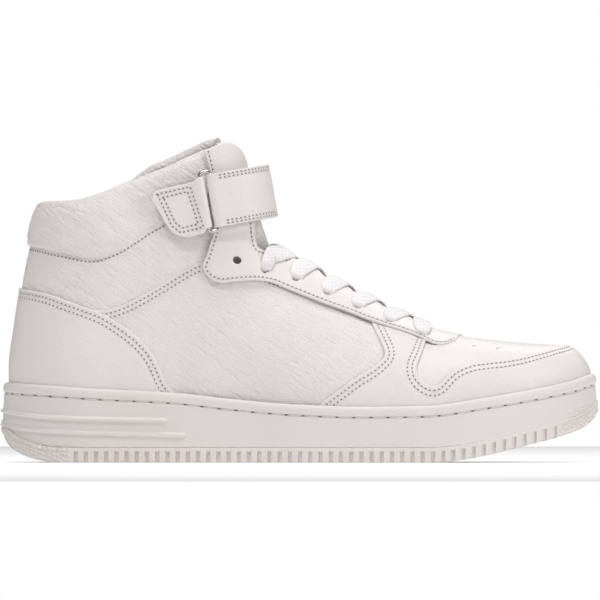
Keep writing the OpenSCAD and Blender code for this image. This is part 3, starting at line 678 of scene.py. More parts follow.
def panel(name, chart, loop, layer, material, rows=(), holes=(), thick=LEATHER, spacing=1.5, wrinkle=0.12,
          weld=None, hole_round=0.5, body="shoe"):
    """A cut leather panel on a chart: rows are stitched lines that press into it, weld an edge without end."""
    uv, faces = triangulate(loop, holes, spacing)
    base, normal = chart.at(uv[:, 0], uv[:, 1])
    cut = loop
    if weld is not None:
        far = distance(loop, weld) > 0.5
        turn = int(np.argmax(far & ~np.roll(far, 1)))
        cut = np.roll(loop, -turn, axis=0)[:far.sum()]
    gap = distance(base, chart.at(cut[:, 0], cut[:, 1])[0], weld is None)
    full = thick * (0.35 + 0.65 * np.sqrt(1 - (1 - np.minimum(gap / (0.6 * thick), 1)) ** 2))
    for hole in holes:
        near = distance(base, chart.at(hole[:, 0], hole[:, 1])[0], True)
        full = full - 0.3 * thick * np.maximum(0, 1 - near / hole_round) ** 2
    for row in rows:
        full = full - 0.24 * np.exp(-(distance(base, chart.at(row[:, 0], row[:, 1])[0]) / 0.6) ** 2)
    full = full + sag(base, wrinkle, 16.0, 3) * ease(gap / 4)
    floor = layer(uv, base) if callable(layer) else LAYER[layer] + 0 * full
    top = base + normal * (floor + full)[:, None]
    under = base + normal * floor[:, None]
    n = len(base)
    sides = {(int(f[i]), int(f[(i + 1) % 3])) for f in faces for i in range(3)}
    border = [(a, b) for a, b in sides if (b, a) not in sides]
    if weld is not None:
        on_weld = distance(uv, weld) < 0.3
        border = [(a, b) for a, b in border if not (on_weld[a] and on_weld[b])]
    every = [tuple(f) for f in faces] + [tuple(f[::-1] + n) for f in faces]
    every += [(b, a, a + n, b + n) for a, b in border]
    obj = make(name, np.vstack([top, under]), every, [material], body=body)
    face_out(obj)
    return obj


def capsule(length, radius, sides=6):
    """A rounded rod along X."""
    rings = [(-0.5, 0.0), (-0.42, 0.75), (-0.25, 1.0), (0.25, 1.0), (0.42, 0.75), (0.5, 0.0)]
    verts, faces = [], []
    for x, r in rings:
        for k in range(sides):
            a = 2 * math.pi * k / sides
            verts.append((x * length, math.cos(a) * r * radius, math.sin(a) * r * radius))
    for i in range(len(rings) - 1):
        for k in range(sides):
            m = (k + 1) % sides
            faces.append((i * sides + k, i * sides + m, (i + 1) * sides + m, (i + 1) * sides + k))
    return np.array(verts), faces


def disc(rx, ry, sides=8):
    a = np.arange(sides) * 2 * math.pi / sides
    verts = np.vstack([np.stack([np.cos(a) * rx, np.sin(a) * ry, 0 * a], axis=1), [[0, 0, -0.02]]])
    return verts, [(k, (k + 1) % sides, sides) for k in range(sides)]


def scatter(shape, places, tangents, normals):
    """Copies of a shape, its X along the tangents and its Z along the normals."""
    verts, faces = shape
    side = unit(np.cross(normals, tangents))
    along = np.cross(side, normals)
    out = (places[:, None, :] + verts[None, :, 0, None] * along[:, None, :]
           + verts[None, :, 1, None] * side[:, None, :] + verts[None, :, 2, None] * normals[:, None, :])
    n = len(verts)
    every = [tuple(k * n + i for i in f) for k in range(len(places)) for f in faces]
    return out.reshape(-1, 3), every


class Stitches:
    """Collects stitch rows for one object: threads, and flat dark discs of painted shade for the needle holes between
    them.
    """

    def __init__(self, pitch=2.3, length=1.75, radius=0.27):
        self.pitch, self.length, self.radius = pitch, length, radius
        self.thread, self.holes = [], []

    def row(self, points, normals):
        if len(points) < 3:
            return
        s = np.concatenate([[0], np.cumsum(np.linalg.norm(np.diff(points, axis=0), axis=1))])
        n = int(s[-1] / self.pitch)
        if n < 1:
            return
        def along(t):
            p = np.stack([np.interp(t, s, points[:, k]) for k in range(3)], axis=1)
            m = unit(np.stack([np.interp(t, s, normals[:, k]) for k in range(3)], axis=1))
            ahead = np.stack([np.interp(t + 0.4, s, points[:, k]) for k in range(3)], axis=1)
            back = np.stack([np.interp(t - 0.4, s, points[:, k]) for k in range(3)], axis=1)
            return p, unit(ahead - back), m
        self.thread.append(along((np.arange(n) + 0.5) * self.pitch))
        # Needle hole places, later drawn as flat discs of painted shade.
        self.holes.append(along(np.arange(n + 1) * self.pitch))

    def build(self, name, body="shoe", hole=HOLE_SHADE):
        verts, faces, slots, start = [], [], [], 0
        # Kind 0 are the threads; kind 1 are flat discs just above the leather, coloured with painted shade where the
        # needle holes are.
        for kind, shape, rows in ((0, capsule(self.length, self.radius), self.thread),
                                  (1, disc(0.78, 0.36), self.holes)):
            for p, t, m in rows:
                v, f = scatter(shape, p + m * (0.06 if kind == 0 else 0.12), t, m)
                verts.append(v)
                faces += [tuple(i + start for i in each) for each in f]
                slots += [kind] * len(f)
                start += len(v)
        return make(name, np.vstack(verts), faces, [THREAD, hole], body=body, face_materials=slots)


# ---- Sole ----

def plan_loop(d, step):
    """Closed line round the footprint, d outside the upper, starting behind the heel, with normals."""
    x0, x1 = heel_back(45.0) - d, TOE_TIP + d
    x = mix(x0, x1, (1 - np.cos(np.linspace(0, math.pi, 700))) / 2)
    half = {side: plan_half(x, side * np.ones_like(x), d) * heel_share(x, 45.0, d)
            for side in (LATERAL, MEDIAL)}
    lateral = np.stack([x, centre(x) - half[LATERAL]], axis=1)
    medial = np.stack([x, centre(x) + half[MEDIAL]], axis=1)[::-1]
    line = resample(np.vstack([lateral, medial[1:-1]]), step, closed=True)
    tangent = unit(np.roll(line, -1, axis=0) - np.roll(line, 1, axis=0))
    return line, np.stack([tangent[:, 1], -tangent[:, 0]], axis=1)


RIM, RIM_OUT = plan_loop(0.0, 0.9)
RIB_LINES = [(curve([(-151, 27.6), (-141.6, 25.1), (-132, 23.4), (-122.5, 22.4), (-103, 21.6), (-67, 21)]),
              -67.5),
             (curve([(-151, 20.8), (-141.6, 17.9), (-132, 16.3), (-122.5, 15.5), (-103, 14.7), (-58, 13.6)]),
              -58.2)]
GROOVE_DROP = 5.7


def ring(d, z):
    return np.column_stack([RIM + RIM_OUT * np.reshape(d * np.ones(len(RIM)), (-1, 1)), z * np.ones(len(RIM))])


def rib_height(x, z):
    """The two moulded ledges round the heel: a soft top and an undercut lower edge."""
    out = np.zeros_like(x)
    for line, end in RIB_LINES:
        s = z - line(x)
        ledge = np.where(s > 0, np.exp(-(s / 1.2) ** 4), np.exp(-(s / 0.4) ** 2))
        out = out + 1.4 * ledge * ease((end + 1.2 - x) / 2.4)
    return out


RIM_LENGTH = np.concatenate([[0], np.cumsum(np.linalg.norm(np.diff(RIM, axis=0), axis=1))])


def knurl(x, length, z):
    """Small moulded pyramids low on the toe and the heel."""
    ground = ground_line(x)
    zone = np.where(x > 0, ease((x - 130) / 3), ease((-115.5 - x) / 2))
    band = ease((z - ground - 0.9) / 0.6) * ease((ground + np.where(x > 0, 13, 9.5) - z) / 0.8)
    a, b = np.abs((length / 2.6) % 1 - 0.5), np.abs(((z + length * 0.385) / 2.0) % 1 - 0.5)
    return 1.1 * zone * band * np.maximum(0, 1 - 1.7 * (a + b))


def open_seam(x):
    """1 where the seam between cup and tread stands open, near 0 on the raised toe and heel."""
    return 1 - 0.9 * np.where(x > 0, ease((x - 126) / 5), ease((-113 - x) / 5))


def cupsole():
    x = RIM[:, 0]
    top, low = feather(x), ground_line(x) + TREAD
    groove = top - GROOVE_DROP
    seam = open_seam(x)
    rows = [ring(SOLE_OUT - 3, low + 0.15), ring(SOLE_OUT - 0.15 - 0.35 * seam, low + 0.15),
            ring(SOLE_OUT - 0.15 - 0.1 * seam, low + 0.3)]
    for t in np.linspace(0, 1, 88):
        z = mix(low + 0.7, groove - 0.9, t)
        d = SOLE_OUT - 0.15 - 0.45 * t ** 2 + 0.1 * math.sin(math.pi * t)
        rows.append(ring(d + rib_height(x, z) + knurl(x, RIM_LENGTH, z), z))
    rows += [ring(SOLE_OUT - 0.75, groove - 0.55), ring(SOLE_OUT - 1.5, groove - 0.25),
             ring(SOLE_OUT - 1.6, groove + 0.15)]
    lip = [(-0.95, 0.45), (-0.45, 0.75), (-0.25, 1.4), (-0.2, 2.4), (-0.35, 3.5), (-0.65, 4.4),
           (-1.1, 5.0), (-1.7, 5.4), (-2.3, 5.55), (-2.65, 5.35), (-2.75, 4.6), (-2.8, 0.0), (-2.8, -6.0)]
    rows += [ring(SOLE_OUT + d, groove + h) for d, h in lip]
    n = len(RIM)
    faces = grid_faces(len(rows), n, closed=True)
    obj = make("cupsole_skin", np.vstack(rows), faces, [RUBBER], sharp=60)
    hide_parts("cupsole")
    s = Stitches(pitch=8.6, length=7.2, radius=0.36)
    line = np.vstack([ring(SOLE_OUT - 1.25, groove), ring(SOLE_OUT - 1.25, groove)[:1]])
    out = np.column_stack([RIM_OUT, 0 * x])
    s.row(line, np.vstack([out, out[:1]]))
    thread = s.build("cupsole_thread")
    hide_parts("cupsole_stitching")


SLOT_FIRST, SLOT_LAST, SLOT_COUNT, SLOT_WIDE, SLOT_HIGH, SLOT_DEEP = -113, 128.5, 48, 1.9, 5.6, 1.1


def slot_depth_at(x):
    """How deep the tread's edge is cut at x: full depth inside a slot."""
    pitch = (SLOT_LAST - SLOT_FIRST) / (SLOT_COUNT - 1)
    near = SLOT_FIRST + np.clip(np.round((x - SLOT_FIRST) / pitch), 0, SLOT_COUNT - 1) * pitch
    return np.clip((SLOT_WIDE / 2 + 0.12 - np.abs(x - near)) / 0.12, 0, 1)


def tread_loop():
    """The tread's outer line with extra points at each slot's corners."""
    pitch = (SLOT_LAST - SLOT_FIRST) / (SLOT_COUNT - 1)
    half = SLOT_WIDE / 2
    line, out = plan_loop(SOLE_OUT, 0.5)
    s = np.arange(len(line))
    corners = (-half - 0.12, -half, half, half + 0.12)
    wanted = [SLOT_FIRST + i * pitch + e for i in range(SLOT_COUNT) for e in corners]
    x = line[:, 0]
    turn = int(np.argmax(x))
    cuts = [np.interp(wanted, x[:turn + 1], s[:turn + 1]),
            np.interp(wanted, x[turn:][::-1], s[turn:][::-1])]
    even = np.arange(0, len(line), 1.1)
    cuts = np.concatenate(cuts)
    even = even[np.abs(even[:, None] - cuts[None, :]).min(1) > 0.5]
    t = np.sort(np.concatenate([even, cuts]))
    wrapped = np.vstack([line, line[:1]])
    wrapped_out = np.vstack([out, out[:1]])
    k = np.arange(len(line) + 1)
    pts = np.stack([np.interp(t, k, wrapped[:, i]) for i in (0, 1)], axis=1)
    nor = unit(np.stack([np.interp(t, k, wrapped_out[:, i]) for i in (0, 1)], axis=1))
    return pts, nor


def outsole():
    line, out = tread_loop()
    x = line[:, 0]
    cut = slot_depth_at(x) * SLOT_DEEP
    ground = ground_line(x)

    def at(d, z):
        return np.column_stack([line + out * np.reshape(d * np.ones(len(line)), (-1, 1)), z])
    length = np.concatenate([[0], np.cumsum(np.linalg.norm(np.diff(line, axis=0), axis=1))])
    rows = [at(-0.6 - cut, ground), at(-0.25 - cut, ground + 0.12), at(0 - cut, ground + 0.5)]
    for h in np.linspace(1.0, SLOT_HIGH - 0.2, 10):
        rows.append(at(knurl(x, length, ground + h) - cut, ground + h))
    rows.append(at(-cut, ground + SLOT_HIGH))
    for h in np.linspace(SLOT_HIGH + 0.12, TREAD - 0.3, 4):
        rows.append(at(knurl(x, length, ground + h), ground + h))
    seam = open_seam(x)
    rows += [at(-0.15 * seam, ground + TREAD), at(-0.1 - 0.3 * seam, ground + TREAD + 0.1),
             at(-3.5, ground + TREAD + 0.1)]
    n = len(line)
    verts = np.vstack(rows)
    faces = grid_faces(len(rows), n, closed=True)
    loop = rows[0][:, :2]
    floor_uv, floor_faces = triangulate_plain(loop, 1.5)
    z = ground_line(floor_uv[:, 0]) + tread_pattern(floor_uv) * ease(distance(floor_uv, loop, True) / 1.2)
    floor = np.column_stack([floor_uv, z])
    faces += [tuple(np.array(f[::-1]) + len(verts)) for f in floor_faces]
    obj = make("outsole_skin", np.vstack([verts, floor]), faces, [TREAD_RUBBER], sharp=35)
    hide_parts("outsole")


def triangulate_plain(loop, spacing):
    """A 2D triangle mesh inside a loop with even points and no inset rows."""
    cloud = even_points(loop, spacing)
    cloud = cloud[inside(cloud, loop)]
    cloud = cloud[distance(cloud, loop, True) > 0.7]
    edges = [(i, (i + 1) % len(loop)) for i in range(len(loop))]
    points = [Vector(p) for p in loop] + [Vector(p) for p in cloud]
    verts, _, faces, *_ = delaunay_2d_cdt(points, edges, [], 0, 1e-4)
    verts = np.array([tuple(v) for v in verts])
    faces = np.array([f for f in faces if len(f) == 3])
    return verts, faces[inside(verts[faces].mean(1), loop)]


def tread_pattern(p):
    """Height of the cuts in the underside: rings under the ball and the heel, bars between."""
    x, y = p[:, 0], p[:, 1] - centre(p[:, 0])
    out = np.zeros(len(p))
    ball = np.hypot(x - 78, y)
    heel = np.hypot(x + 108, y)
    rings = lambda r, limit: np.where(r < limit, ease((np.cos(r * 2 * math.pi / 6.5) - 0.25) / 0.4), 0)
    out = np.maximum(out, rings(ball, 30))
    out = np.maximum(out, rings(heel, 22))
    bars = ease((np.cos((x + 3 * np.abs(y) / 8) * 2 * math.pi / 9) - 0.45) / 0.3)
    clear = (ball > 33) & (heel > 25)
    return 1.6 * np.maximum(out, np.where(clear, bars, 0))


# ---- Upper: outlines as seen from the side, in millimetres ----

COUNTER_EDGE = [(-147, 88.3), (-141, 88), (-136, 87), (-126.8, 85), (-114.6, 80.4), (-102.3, 75.9), (-96.3, 73),
                (-88, 67.6), (-80.6, 61.7), (-75, 55.6), (-71.2, 49), (-67.3, 40.1), (-64.2, 36.4), (-61.5, 30)]
SIDE_TOP = [(-104, 76.5), (-97.3, 76.7), (-88.5, 79.5), (-78.9, 84.4), (-69.2, 90.1), (-59.6, 96), (-49.9, 100.7),
            (-40, 99.5), (-28, 98), (-14, 92.5), (0, 88), (14, 82), (28, 76.5), (38, 73)]
SIDE_FRONT = [(33.5, 73.5), (36.8, 66.1), (39.7, 60.6), (41.8, 56), (42.3, 52.6), (39.3, 49.3), (34.5, 45.9),
              (28.5, 42.6), (20.2, 36.8), (10.5, 29.5), (3, 22)]
TOE_BOX_EDGE = [(64.5, 63.4), (63.2, 60), (61, 53.7), (58.6, 46.9), (59.5, 42.7), (62.8, 39.3), (67, 37.9),
                (69.8, 38.8), (73.6, 42.4), (78.6, 46), (87, 48.8), (95, 49.8), (104, 50.6), (112, 51.8),
                (120, 53.4), (129, 55.7)]
TOE_BOX_FRONT = (133, 56.75)
FACING_EDGE = [(-49.2, 156.5), (-46.4, 145.9), (-45.2, 135), (-43.8, 116.2), (-45.4, 110.4), (-46.9, 104.7),
               (-49.2, 98.5), (-47.9, 95), (-44.4, 91.8), (-40, 90.3), (-32.3, 90.8), (-23.7, 91), (-15.2, 89.2),
               (-4, 84.4), (10.1, 78.6), (24.4, 73.2), (32.7, 69.8), (45.3, 65.4), (51.9, 63.4), (60.3, 60.3),
               (67, 58.2), (73, 58.2), (78.5, 60)]
FLAP_EDGE = [(-49.2, 156.5), (-43, 159.6), (-37, 160.2), (-32.5, 156), (-28.4, 142), (-26, 126), (-24.6, 112),
             (-23, 107), (-14, 103.2), (-7, 99.2)]
THROAT_HALF, THROAT_ROUND, THROAT_END = 8.0, 54.0, 70.0
EYELETS = [(-31.6, 102), (-17.3, 97.6), (-1.8, 93.4), (14, 86.2), (29, 79.3), (45.3, 72.2), (61.5, 65.6)]
EYELET_D = 4.0
BELOW = -7.0


def side_curve(chart, side, points, step=0.8):
    """Side-view points laid on a chart as a smooth line of (u, v)."""
    return spline(chart.find(points, side), step)


def tidy_loop(*edges):
    """Joins edges end to end into one closed loop without doubled points."""
    line = np.vstack(edges)
    keep = [0]
    for i in range(1, len(line)):
        if np.linalg.norm(line[i] - line[keep[-1]]) > 0.25:
            keep.append(i)
    while np.linalg.norm(line[keep[-1]] - line[keep[0]]) < 0.25:
        keep.pop()
    return line[keep]


def straight(a, b, step=1.2):
    n = max(2, int(np.linalg.norm(np.subtract(b, a)) / step) + 1)
    return np.array([mix(np.array(a, float), np.array(b, float), t) for t in np.linspace(0, 1, n)])


def inner_rows(edge, loop, distances, margin=0.8):
    """Lines that follow an edge inside a panel."""
    rows = []
    for d in distances:
        for sign in (1, -1):
            row = offset_line(edge, sign * d)
            row = row[inside(row, loop)]
            if len(row) > 0.6 * len(edge):
                rows.append(row[distance(row, loop, True) > min(margin, 0.9 * d)])
                break
    return rows


def add_stitches(stitches, chart, rows, height, wrinkle=0.0):
    for row in rows:
        base = chart.at(row[:, 0], row[:, 1])[0]
        tall = height(row, base) if callable(height) else height
        stitches.row(*chart.at(row[:, 0], row[:, 1], tall + sag(base, wrinkle, 16.0, 3)))


def reverse_joined(lateral, medial):
    """Joins a lateral and a medial chart at their last rows into one continuous sheet."""
    u = np.concatenate([lateral.u, lateral.u[-1] + medial.u[-1] - medial.u[::-1][1:]])
    points = np.concatenate([lateral.p, medial.p[::-1][1:]])
    chart = Chart(u, points)
    middle = len(lateral.u) // 2
    if (chart.n[middle, 10] * lateral.n[middle, 10]).sum() < 0:
        chart.n = -chart.n
    return chart


RAND = reverse_joined(FRONT[LATERAL], FRONT[MEDIAL])


def section_chart(x0, x1, step=0.5):
    """The front over both sides: u is x, v the length from the ridge, lateral side negative."""
    x = np.arange(x0, x1, step)
    q = np.linspace(-math.pi / 2, math.pi / 2, 361)
    side = np.where(q < 0, LATERAL, MEDIAL)[None, :] * np.ones((len(x), 1))
    xx = x[:, None] * np.ones((1, len(q)))
    y = centre(xx) + plan_half(xx, side) * np.sin(np.abs(q))[None, :] * side
    low = feather(xx)
    z = low + (crest(xx) - low) * superarc(np.sin(np.abs(q))[None, :] * np.ones_like(xx), section_power(xx))
    chart = Chart(x, np.stack([xx, y, z], axis=2))
    chart.n = chart.n * np.sign(chart.n[:, 180:181, 2:3])
    chart.shift = np.array([chart.v[i, 180] for i in range(len(x))])
    return chart


def vamp():
    chart = section_chart(44, 138.5)

    def at_plan(x, y_off):
        """(u, v) of a point given in plan, y_off from the middle."""
        row = int(np.clip(round((x - 44) / 0.5), 0, len(chart.u) - 1))
        y = chart.p[row, :, 1] - centre(x)
        return x, float(np.interp(y_off, y, chart.v[row]))
    edge = []
    for x in np.linspace(50, 138, 74):
        reach = float(plan_half(x, LATERAL)) * 0.985
        edge.append(at_plan(x, -reach))
    back = [at_plan(x, float(plan_half(x, MEDIAL)) * 0.985) for x in np.linspace(138, 50, 74)]
    loop = tidy_loop(np.array(edge), straight(edge[-1], back[0])[1:], np.array(back)[1:],
                     straight(back[-1], edge[0])[1:])
    holes = []
    for y_off, xs in ((0, (84, 95.5, 107, 118)), (-14, (90, 101.5, 112.5)), (14, (90, 101.5, 112.5)),
                      (-27.3, (87.7, 99.5)), (27.3, (87.7, 99.5))):
        for x in xs:
            c = np.array(at_plan(x, y_off))
            a = np.arange(10) * 2 * math.pi / 10
            holes.append(c + 0.72 * np.stack([np.cos(a), np.sin(a)], axis=1))
    obj = panel("vamp_skin", chart, loop, 0, SMOOTH, holes=holes, spacing=1.9, wrinkle=0.3, hole_round=0.25)
    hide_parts("vamp")


def mudguard():
    lateral, medial = FRONT[LATERAL], FRONT[MEDIAL]
    total = lateral.u[-1] + medial.u[-1]

    def both(points):
        a = lateral.find(points, LATERAL)
        b = medial.find(points, MEDIAL)
        b[:, 0] = total - b[:, 0]
        return a, b
    rear_a, rear_b = both(SIDE_FRONT[::-1])
    toe_a, toe_b = both(TOE_BOX_EDGE)
    top_a, top_b = both([(33.5, 73.5), (45, 70.5), (56, 67.3), (64.5, 63.4)])
    tip = lateral.find([TOE_BOX_FRONT], LATERAL)
    tip[0, 0] = lateral.u[-1]
    toe = spline(np.vstack([toe_a, tip, toe_b[::-1]]), 0.8)
    rear_a, rear_b = spline(rear_a, 0.8), spline(rear_b, 0.8)
    top_a, top_b = spline(top_a, 0.8), spline(top_b, 0.8)
    foot_a, foot_b = (rear_a[0][0], BELOW), (rear_b[0][0], BELOW)
    loop = tidy_loop(rear_a, top_a[1:], toe[1:], top_b[::-1][1:], rear_b[::-1][1:],
                     straight(rear_b[0], foot_b)[1:], straight(foot_b, foot_a)[1:],
                     straight(foot_a, rear_a[0])[1:])
    rows = inner_rows(toe, loop, (2.3, 4.7)) + inner_rows(rear_a, loop, (2.3, 4.7)) \
        + inner_rows(rear_b, loop, (2.3, 4.7))
    obj = panel("mudguard_skin", RAND, loop, 1, SMOOTH, rows=rows, spacing=1.9, wrinkle=0.2)
    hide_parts("mudguard")
    s = Stitches()
    add_stitches(s, RAND, rows, LAYER[1] + LEATHER - 0.1, 0.2)
    s_obj = s.build("mudguard_thread")


def side_panel(side, name):
    chart = WRAP
    top = side_curve(chart, side, SIDE_TOP)
    front = side_curve(chart, side, [(x + 6, z) for x, z in SIDE_FRONT])
    back = side_curve(chart, side, [(-104, 76.5), (-110, 66), (-112, 45), (-110, 26)])
    low_front, low_back = (front[-1][0], BELOW), (back[-1][0], BELOW)
    loop = tidy_loop(top, straight(top[-1], front[0])[1:], front[1:], straight(front[-1], low_front)[1:],
                     straight(low_front, low_back)[1:], straight(low_back, back[-1])[1:], back[::-1][1:])
    rows = inner_rows(top, loop, (2.0, 4.3))
    lifted = lambda uv, base: LAYER[0] + 0.75 * ease((9 - distance(uv, top)) / 5)
    obj = panel("side_panel_" + name + "_skin", chart, loop, lifted, GRAINED, rows=rows, spacing=1.9,
                wrinkle=0.35)
    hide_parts("side_panel_" + name)
    s = Stitches()
    add_stitches(s, chart, rows, LAYER[0] + 0.75 + LEATHER - 0.1, 0.35)
    s.build("side_panel_" + name + "_thread")


def quarters():
    """One band round the ankle, from under the side panels and the counter up to the collar seam."""
    chart = WRAP
    lows, highs, fronts = [], [], []
    for side in (LATERAL, MEDIAL):
        under = [(x, z - 7) for x, z in SIDE_TOP if x < -30][::-1] + [(-118, 69), (-132, 72)]
        lows.append(chart.find(under, side))
        over = [(x, float(collar_seam(x)) + 2.2) for x in np.linspace(-44, -132.2, 24)]
        highs.append(chart.find(over, side))
        fronts.append(chart.find([(-40.5, 116), (-42, 104)], side))
    low = spline(np.vstack([lows[0], [[0, 32]], lows[1][::-1]]), 0.8)
    back = [[0.0, height_on_row(chart, [0.0], collar_seam)[0] + 2.2]]
    high = spline(np.vstack([highs[0], back, highs[1][::-1]]), 0.8)
    ends = [resample(np.vstack([h, f, k]), 0.8) for h, f, k in
            ((high[:1], fronts[0], low[:1]), (high[-1:], fronts[1], low[-1:]))]
    loop = tidy_loop(high, ends[1][1:], low[::-1][1:], ends[0][::-1][1:])
    rows = inner_rows(high, loop, (4.6,))

    def floor(uv, base):
        return 0.1 + 1.3 * ease((52 - np.abs(uv[:, 0])) / 30) * ease((base[:, 2] - 72) / 8)
    obj = panel("quarters_skin", chart, loop, floor, CREASED,
                rows=rows, thick=0.9, spacing=1.7, wrinkle=0.45)
    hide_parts("quarter_lateral", "quarter_medial")
    s = Stitches(pitch=2.1, length=1.5, radius=0.2)
    add_stitches(s, chart, rows, lambda row, base: floor(row, base) + 0.8, 0.45)
    s.build("quarters_thread")


def heel_counter():
    chart = WRAP
    a = chart.find(COUNTER_EDGE[1:], LATERAL)
    b = chart.find(COUNTER_EDGE[1:], MEDIAL)
    back = np.array([[0.0, a[0][1] + 0.6]])
    edge = spline(np.vstack([a[::-1], back, b]), 0.8)
    foot_a, foot_b = (edge[0][0], BELOW), (edge[-1][0], BELOW)
    loop = tidy_loop(edge, straight(edge[-1], foot_b)[1:], straight(foot_b, foot_a)[1:],
                     straight(foot_a, edge[0])[1:])
    rows = inner_rows(edge, loop, (2.3, 4.7))

    def floor(uv, base):
        return LAYER[1] + 0.9 * ease((52 - np.abs(uv[:, 0])) / 30) * ease((base[:, 2] - 60) / 20)
    obj = panel("heel_counter_skin", chart, loop, floor, SMOOTH, rows=rows, spacing=1.9, wrinkle=0.15)
    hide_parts("heel_counter")
    s = Stitches()
    add_stitches(s, chart, rows, lambda row, base: floor(row, base) + LEATHER - 0.1, 0.15)
    s.build("heel_counter_thread")


def facing_floor(uv, base):
    """The facing lies over the other layers and comes down onto the vamp at its front."""
    return LAYER[2] - 1.9 * ease((base[:, 0] - 56) / 18)


def facing():
    """The lace facing: both sides joined round the front of the throat."""
    s = Stitches()
    for side in (LATERAL, MEDIAL):
        chart = FRONT[side]
        outer = side_curve(chart, side, FACING_EDGE)
        flap = side_curve(chart, side, FLAP_EDGE)
        ridge_end = chart.find([(81.5, float(crest(81.5)))], side)[0]
        throat = []
        for x in np.linspace(-7, THROAT_END, 60):
            f = 1 - max(0, (x - THROAT_ROUND) / (THROAT_END - THROAT_ROUND)) ** 2
            half = THROAT_HALF * math.sqrt(max(0, f)) * ease((x + 40) / 20)
            throat.append((x, centre(x) + side * half))
        throat = side_view_of_plan(chart, throat)
        ridge_u = np.linspace(ridge_end[0], throat[-1][0], 14)
        ridge = np.stack([ridge_u, ridge_v(chart, ridge_u)], axis=1)
        loop = tidy_loop(outer, straight(outer[-1], ridge[0])[1:], ridge[1:], throat[::-1][1:],
                         straight(throat[0], flap[-1])[1:], flap[::-1][1:])
        holes = []
        for c in eyelet_uv(side):
            t = np.arange(18) * 2 * math.pi / 18
            holes.append(c + EYELET_D / 2 * np.stack([np.cos(t), np.sin(t)], axis=1))
        front_rows = inner_rows(flap, loop, (1.9,))
        rows = inner_rows(outer, loop, (1.7,)) + [r[chart.at(*r.T)[0][:, 2] < 133] for r in front_rows]
        name = "lateral" if side == LATERAL else "medial"
        obj = panel("facing_" + name + "_skin", chart, loop, facing_floor, SMOOTH, rows=rows, holes=holes, spacing=1.6,
                    wrinkle=0.15, weld=ridge)
        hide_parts("facing_" + name)
        add_stitches(s, chart, rows, lambda row, base: facing_floor(row, base) + LEATHER - 0.1, 0.15)
    s.build("facing_thread")


def eyelet_uv(side):
    """(u, v) of the eyelets, allowing for the facing's height above the chart."""
    chart = FRONT[side]
    first = chart.find(EYELETS, side)
    normal = chart.at(first[:, 0], first[:, 1])[1]
    return chart.find(np.array(EYELETS) - 4.0 * normal[:, [0, 2]], side)


def ridge_v(chart, u):
    return np.interp(u, chart.u, chart.v[:, -1]) - 1e-3


def side_view_of_plan(chart, plan):
    """(u, v) of plan points (x, y) on a chart of one side."""
    out = []
    flat = chart.p[:, :, :2].reshape(-1, 2)
    for t in plan:
        k = ((flat - np.array(t)) ** 2).sum(1).argmin()
        out.append((np.repeat(chart.u, chart.v.shape[1])[k], chart.v.ravel()[k]))
    return resample(np.array(out), 0.8)


# ---- Collar and linings ----

def height_on_row(chart, u, line, top=168.0):
    """The v at which each row u of a chart meets a side-view line z = line(x)."""
    v = np.arange(20, top, 0.5)
    out = []
    for each in u:
        p = chart.at(np.full(len(v), each), v)[0]
        over = p[:, 2] - line(p[:, 0])
        k = int(np.argmax(over > 0))
        out.append(v[k - 1] + 0.5 * (-over[k - 1]) / (over[k] - over[k - 1]))
    return np.array(out)


def creases(p, amount, turn=35.0):
    """Long shallow folds of soft leather, running down towards the toe."""
    a = math.radians(turn)
    along = p[:, 0] * math.cos(a) - p[:, 2] * math.sin(a)
    across = p[:, 0] * math.sin(a) + p[:, 2] * math.cos(a)
    q = np.stack([along / 15, across / 4.2, p[:, 1] / 15], axis=1)
    q = q + 0.5 * np.stack([noise(p / 9, 11), noise(p / 9, 12), 0 * along], axis=1)
    folds = noise(q, 5)
    return amount * (folds - 0.6 * np.abs(noise(q * 1.9, 6)))


COLLAR_BULGE, COLLAR_IN, COLLAR_DOWN = 2.7, 7.4, 26.0


def collar():
    """One padded roll from the outer seam, over the top line and down inside the ankle."""
    chart = WRAP
    ends = [chart.find([(x, 140)], side)[0][0] for x, side in ((-46.5, LATERAL), (-41.5, MEDIAL))]
    u = np.linspace(ends[0], ends[1], 330)
    seam = height_on_row(chart, u, collar_seam)
    top = height_on_row(chart, u, topline)
    x = chart.at(u, top)[0][:, 0]
    top = top + np.where(u > 0, 4.2 * ease((x + 88) / 14) + 0.7 * ease((x + 55) / 14), 0)
    full = ease((-76 - x) / 22)
    bulge = 0.25 + (COLLAR_BULGE - 0.25) * full
    rows = []
    for t in np.concatenate([[0, 0.008, 0.02, 0.045], np.linspace(0.08, 1, 30)]):
        v = mix(seam - 0.4, top - 4.2, t)
        heel_out = 1.4 * ease((60 - np.abs(u)) / 30) * (1 - t)
        rows.append((v, 0.9 + heel_out + 0.6 * min(1, t / 0.05)
                     + bulge * (1 - abs(2 * (0.06 + 0.8 * t) - 1) ** 3)))
    out_d, in_d = rows[-1][1], -COLLAR_IN + 0.8
    for a in np.linspace(0, math.pi, 18)[1:]:
        rows.append((top - 4.2 + 4.2 * math.sin(a), mix(in_d, out_d, (1 + math.cos(a)) / 2)))
    for t in np.linspace(0, 1, 18)[1:]:
        rows.append((top - 4.2 - (COLLAR_DOWN - 4.2) * t, in_d + 3.6 * t ** 2 - 0.8 * math.sin(math.pi * t)))
    rows.append((top - COLLAR_DOWN, -1.6 + 0 * u))
    rows.append((seam - 0.4, -0.9 + 0 * u))
    verts = []
    for k, (v, d) in enumerate(rows):
        p, n = chart.at(u, v, d)
        if 4 < k < len(rows) - 3:
            calm = 1 - 0.75 * ease((v - top + 12) / 6)
            p = p + n * (creases(p, 0.34) * (0.3 + 0.7 * full) * calm + sag(p, 0.3, 14.0, 8))[:, None]
        verts.append(p)
    m = len(u)
    faces = grid_faces(len(rows), m)
    faces += [(j, j + 1, (len(rows) - 1) * m + j + 1, (len(rows) - 1) * m + j) for j in range(m - 1)]
    faces += [tuple(i * m for i in range(len(rows))), tuple(i * m + m - 1 for i in range(len(rows)))[::-1]]
    obj = make("collar_pad", np.vstack(verts), faces, [CREASED], sharp=60)
    face_out(obj)
    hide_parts("collar", "collar_foam")


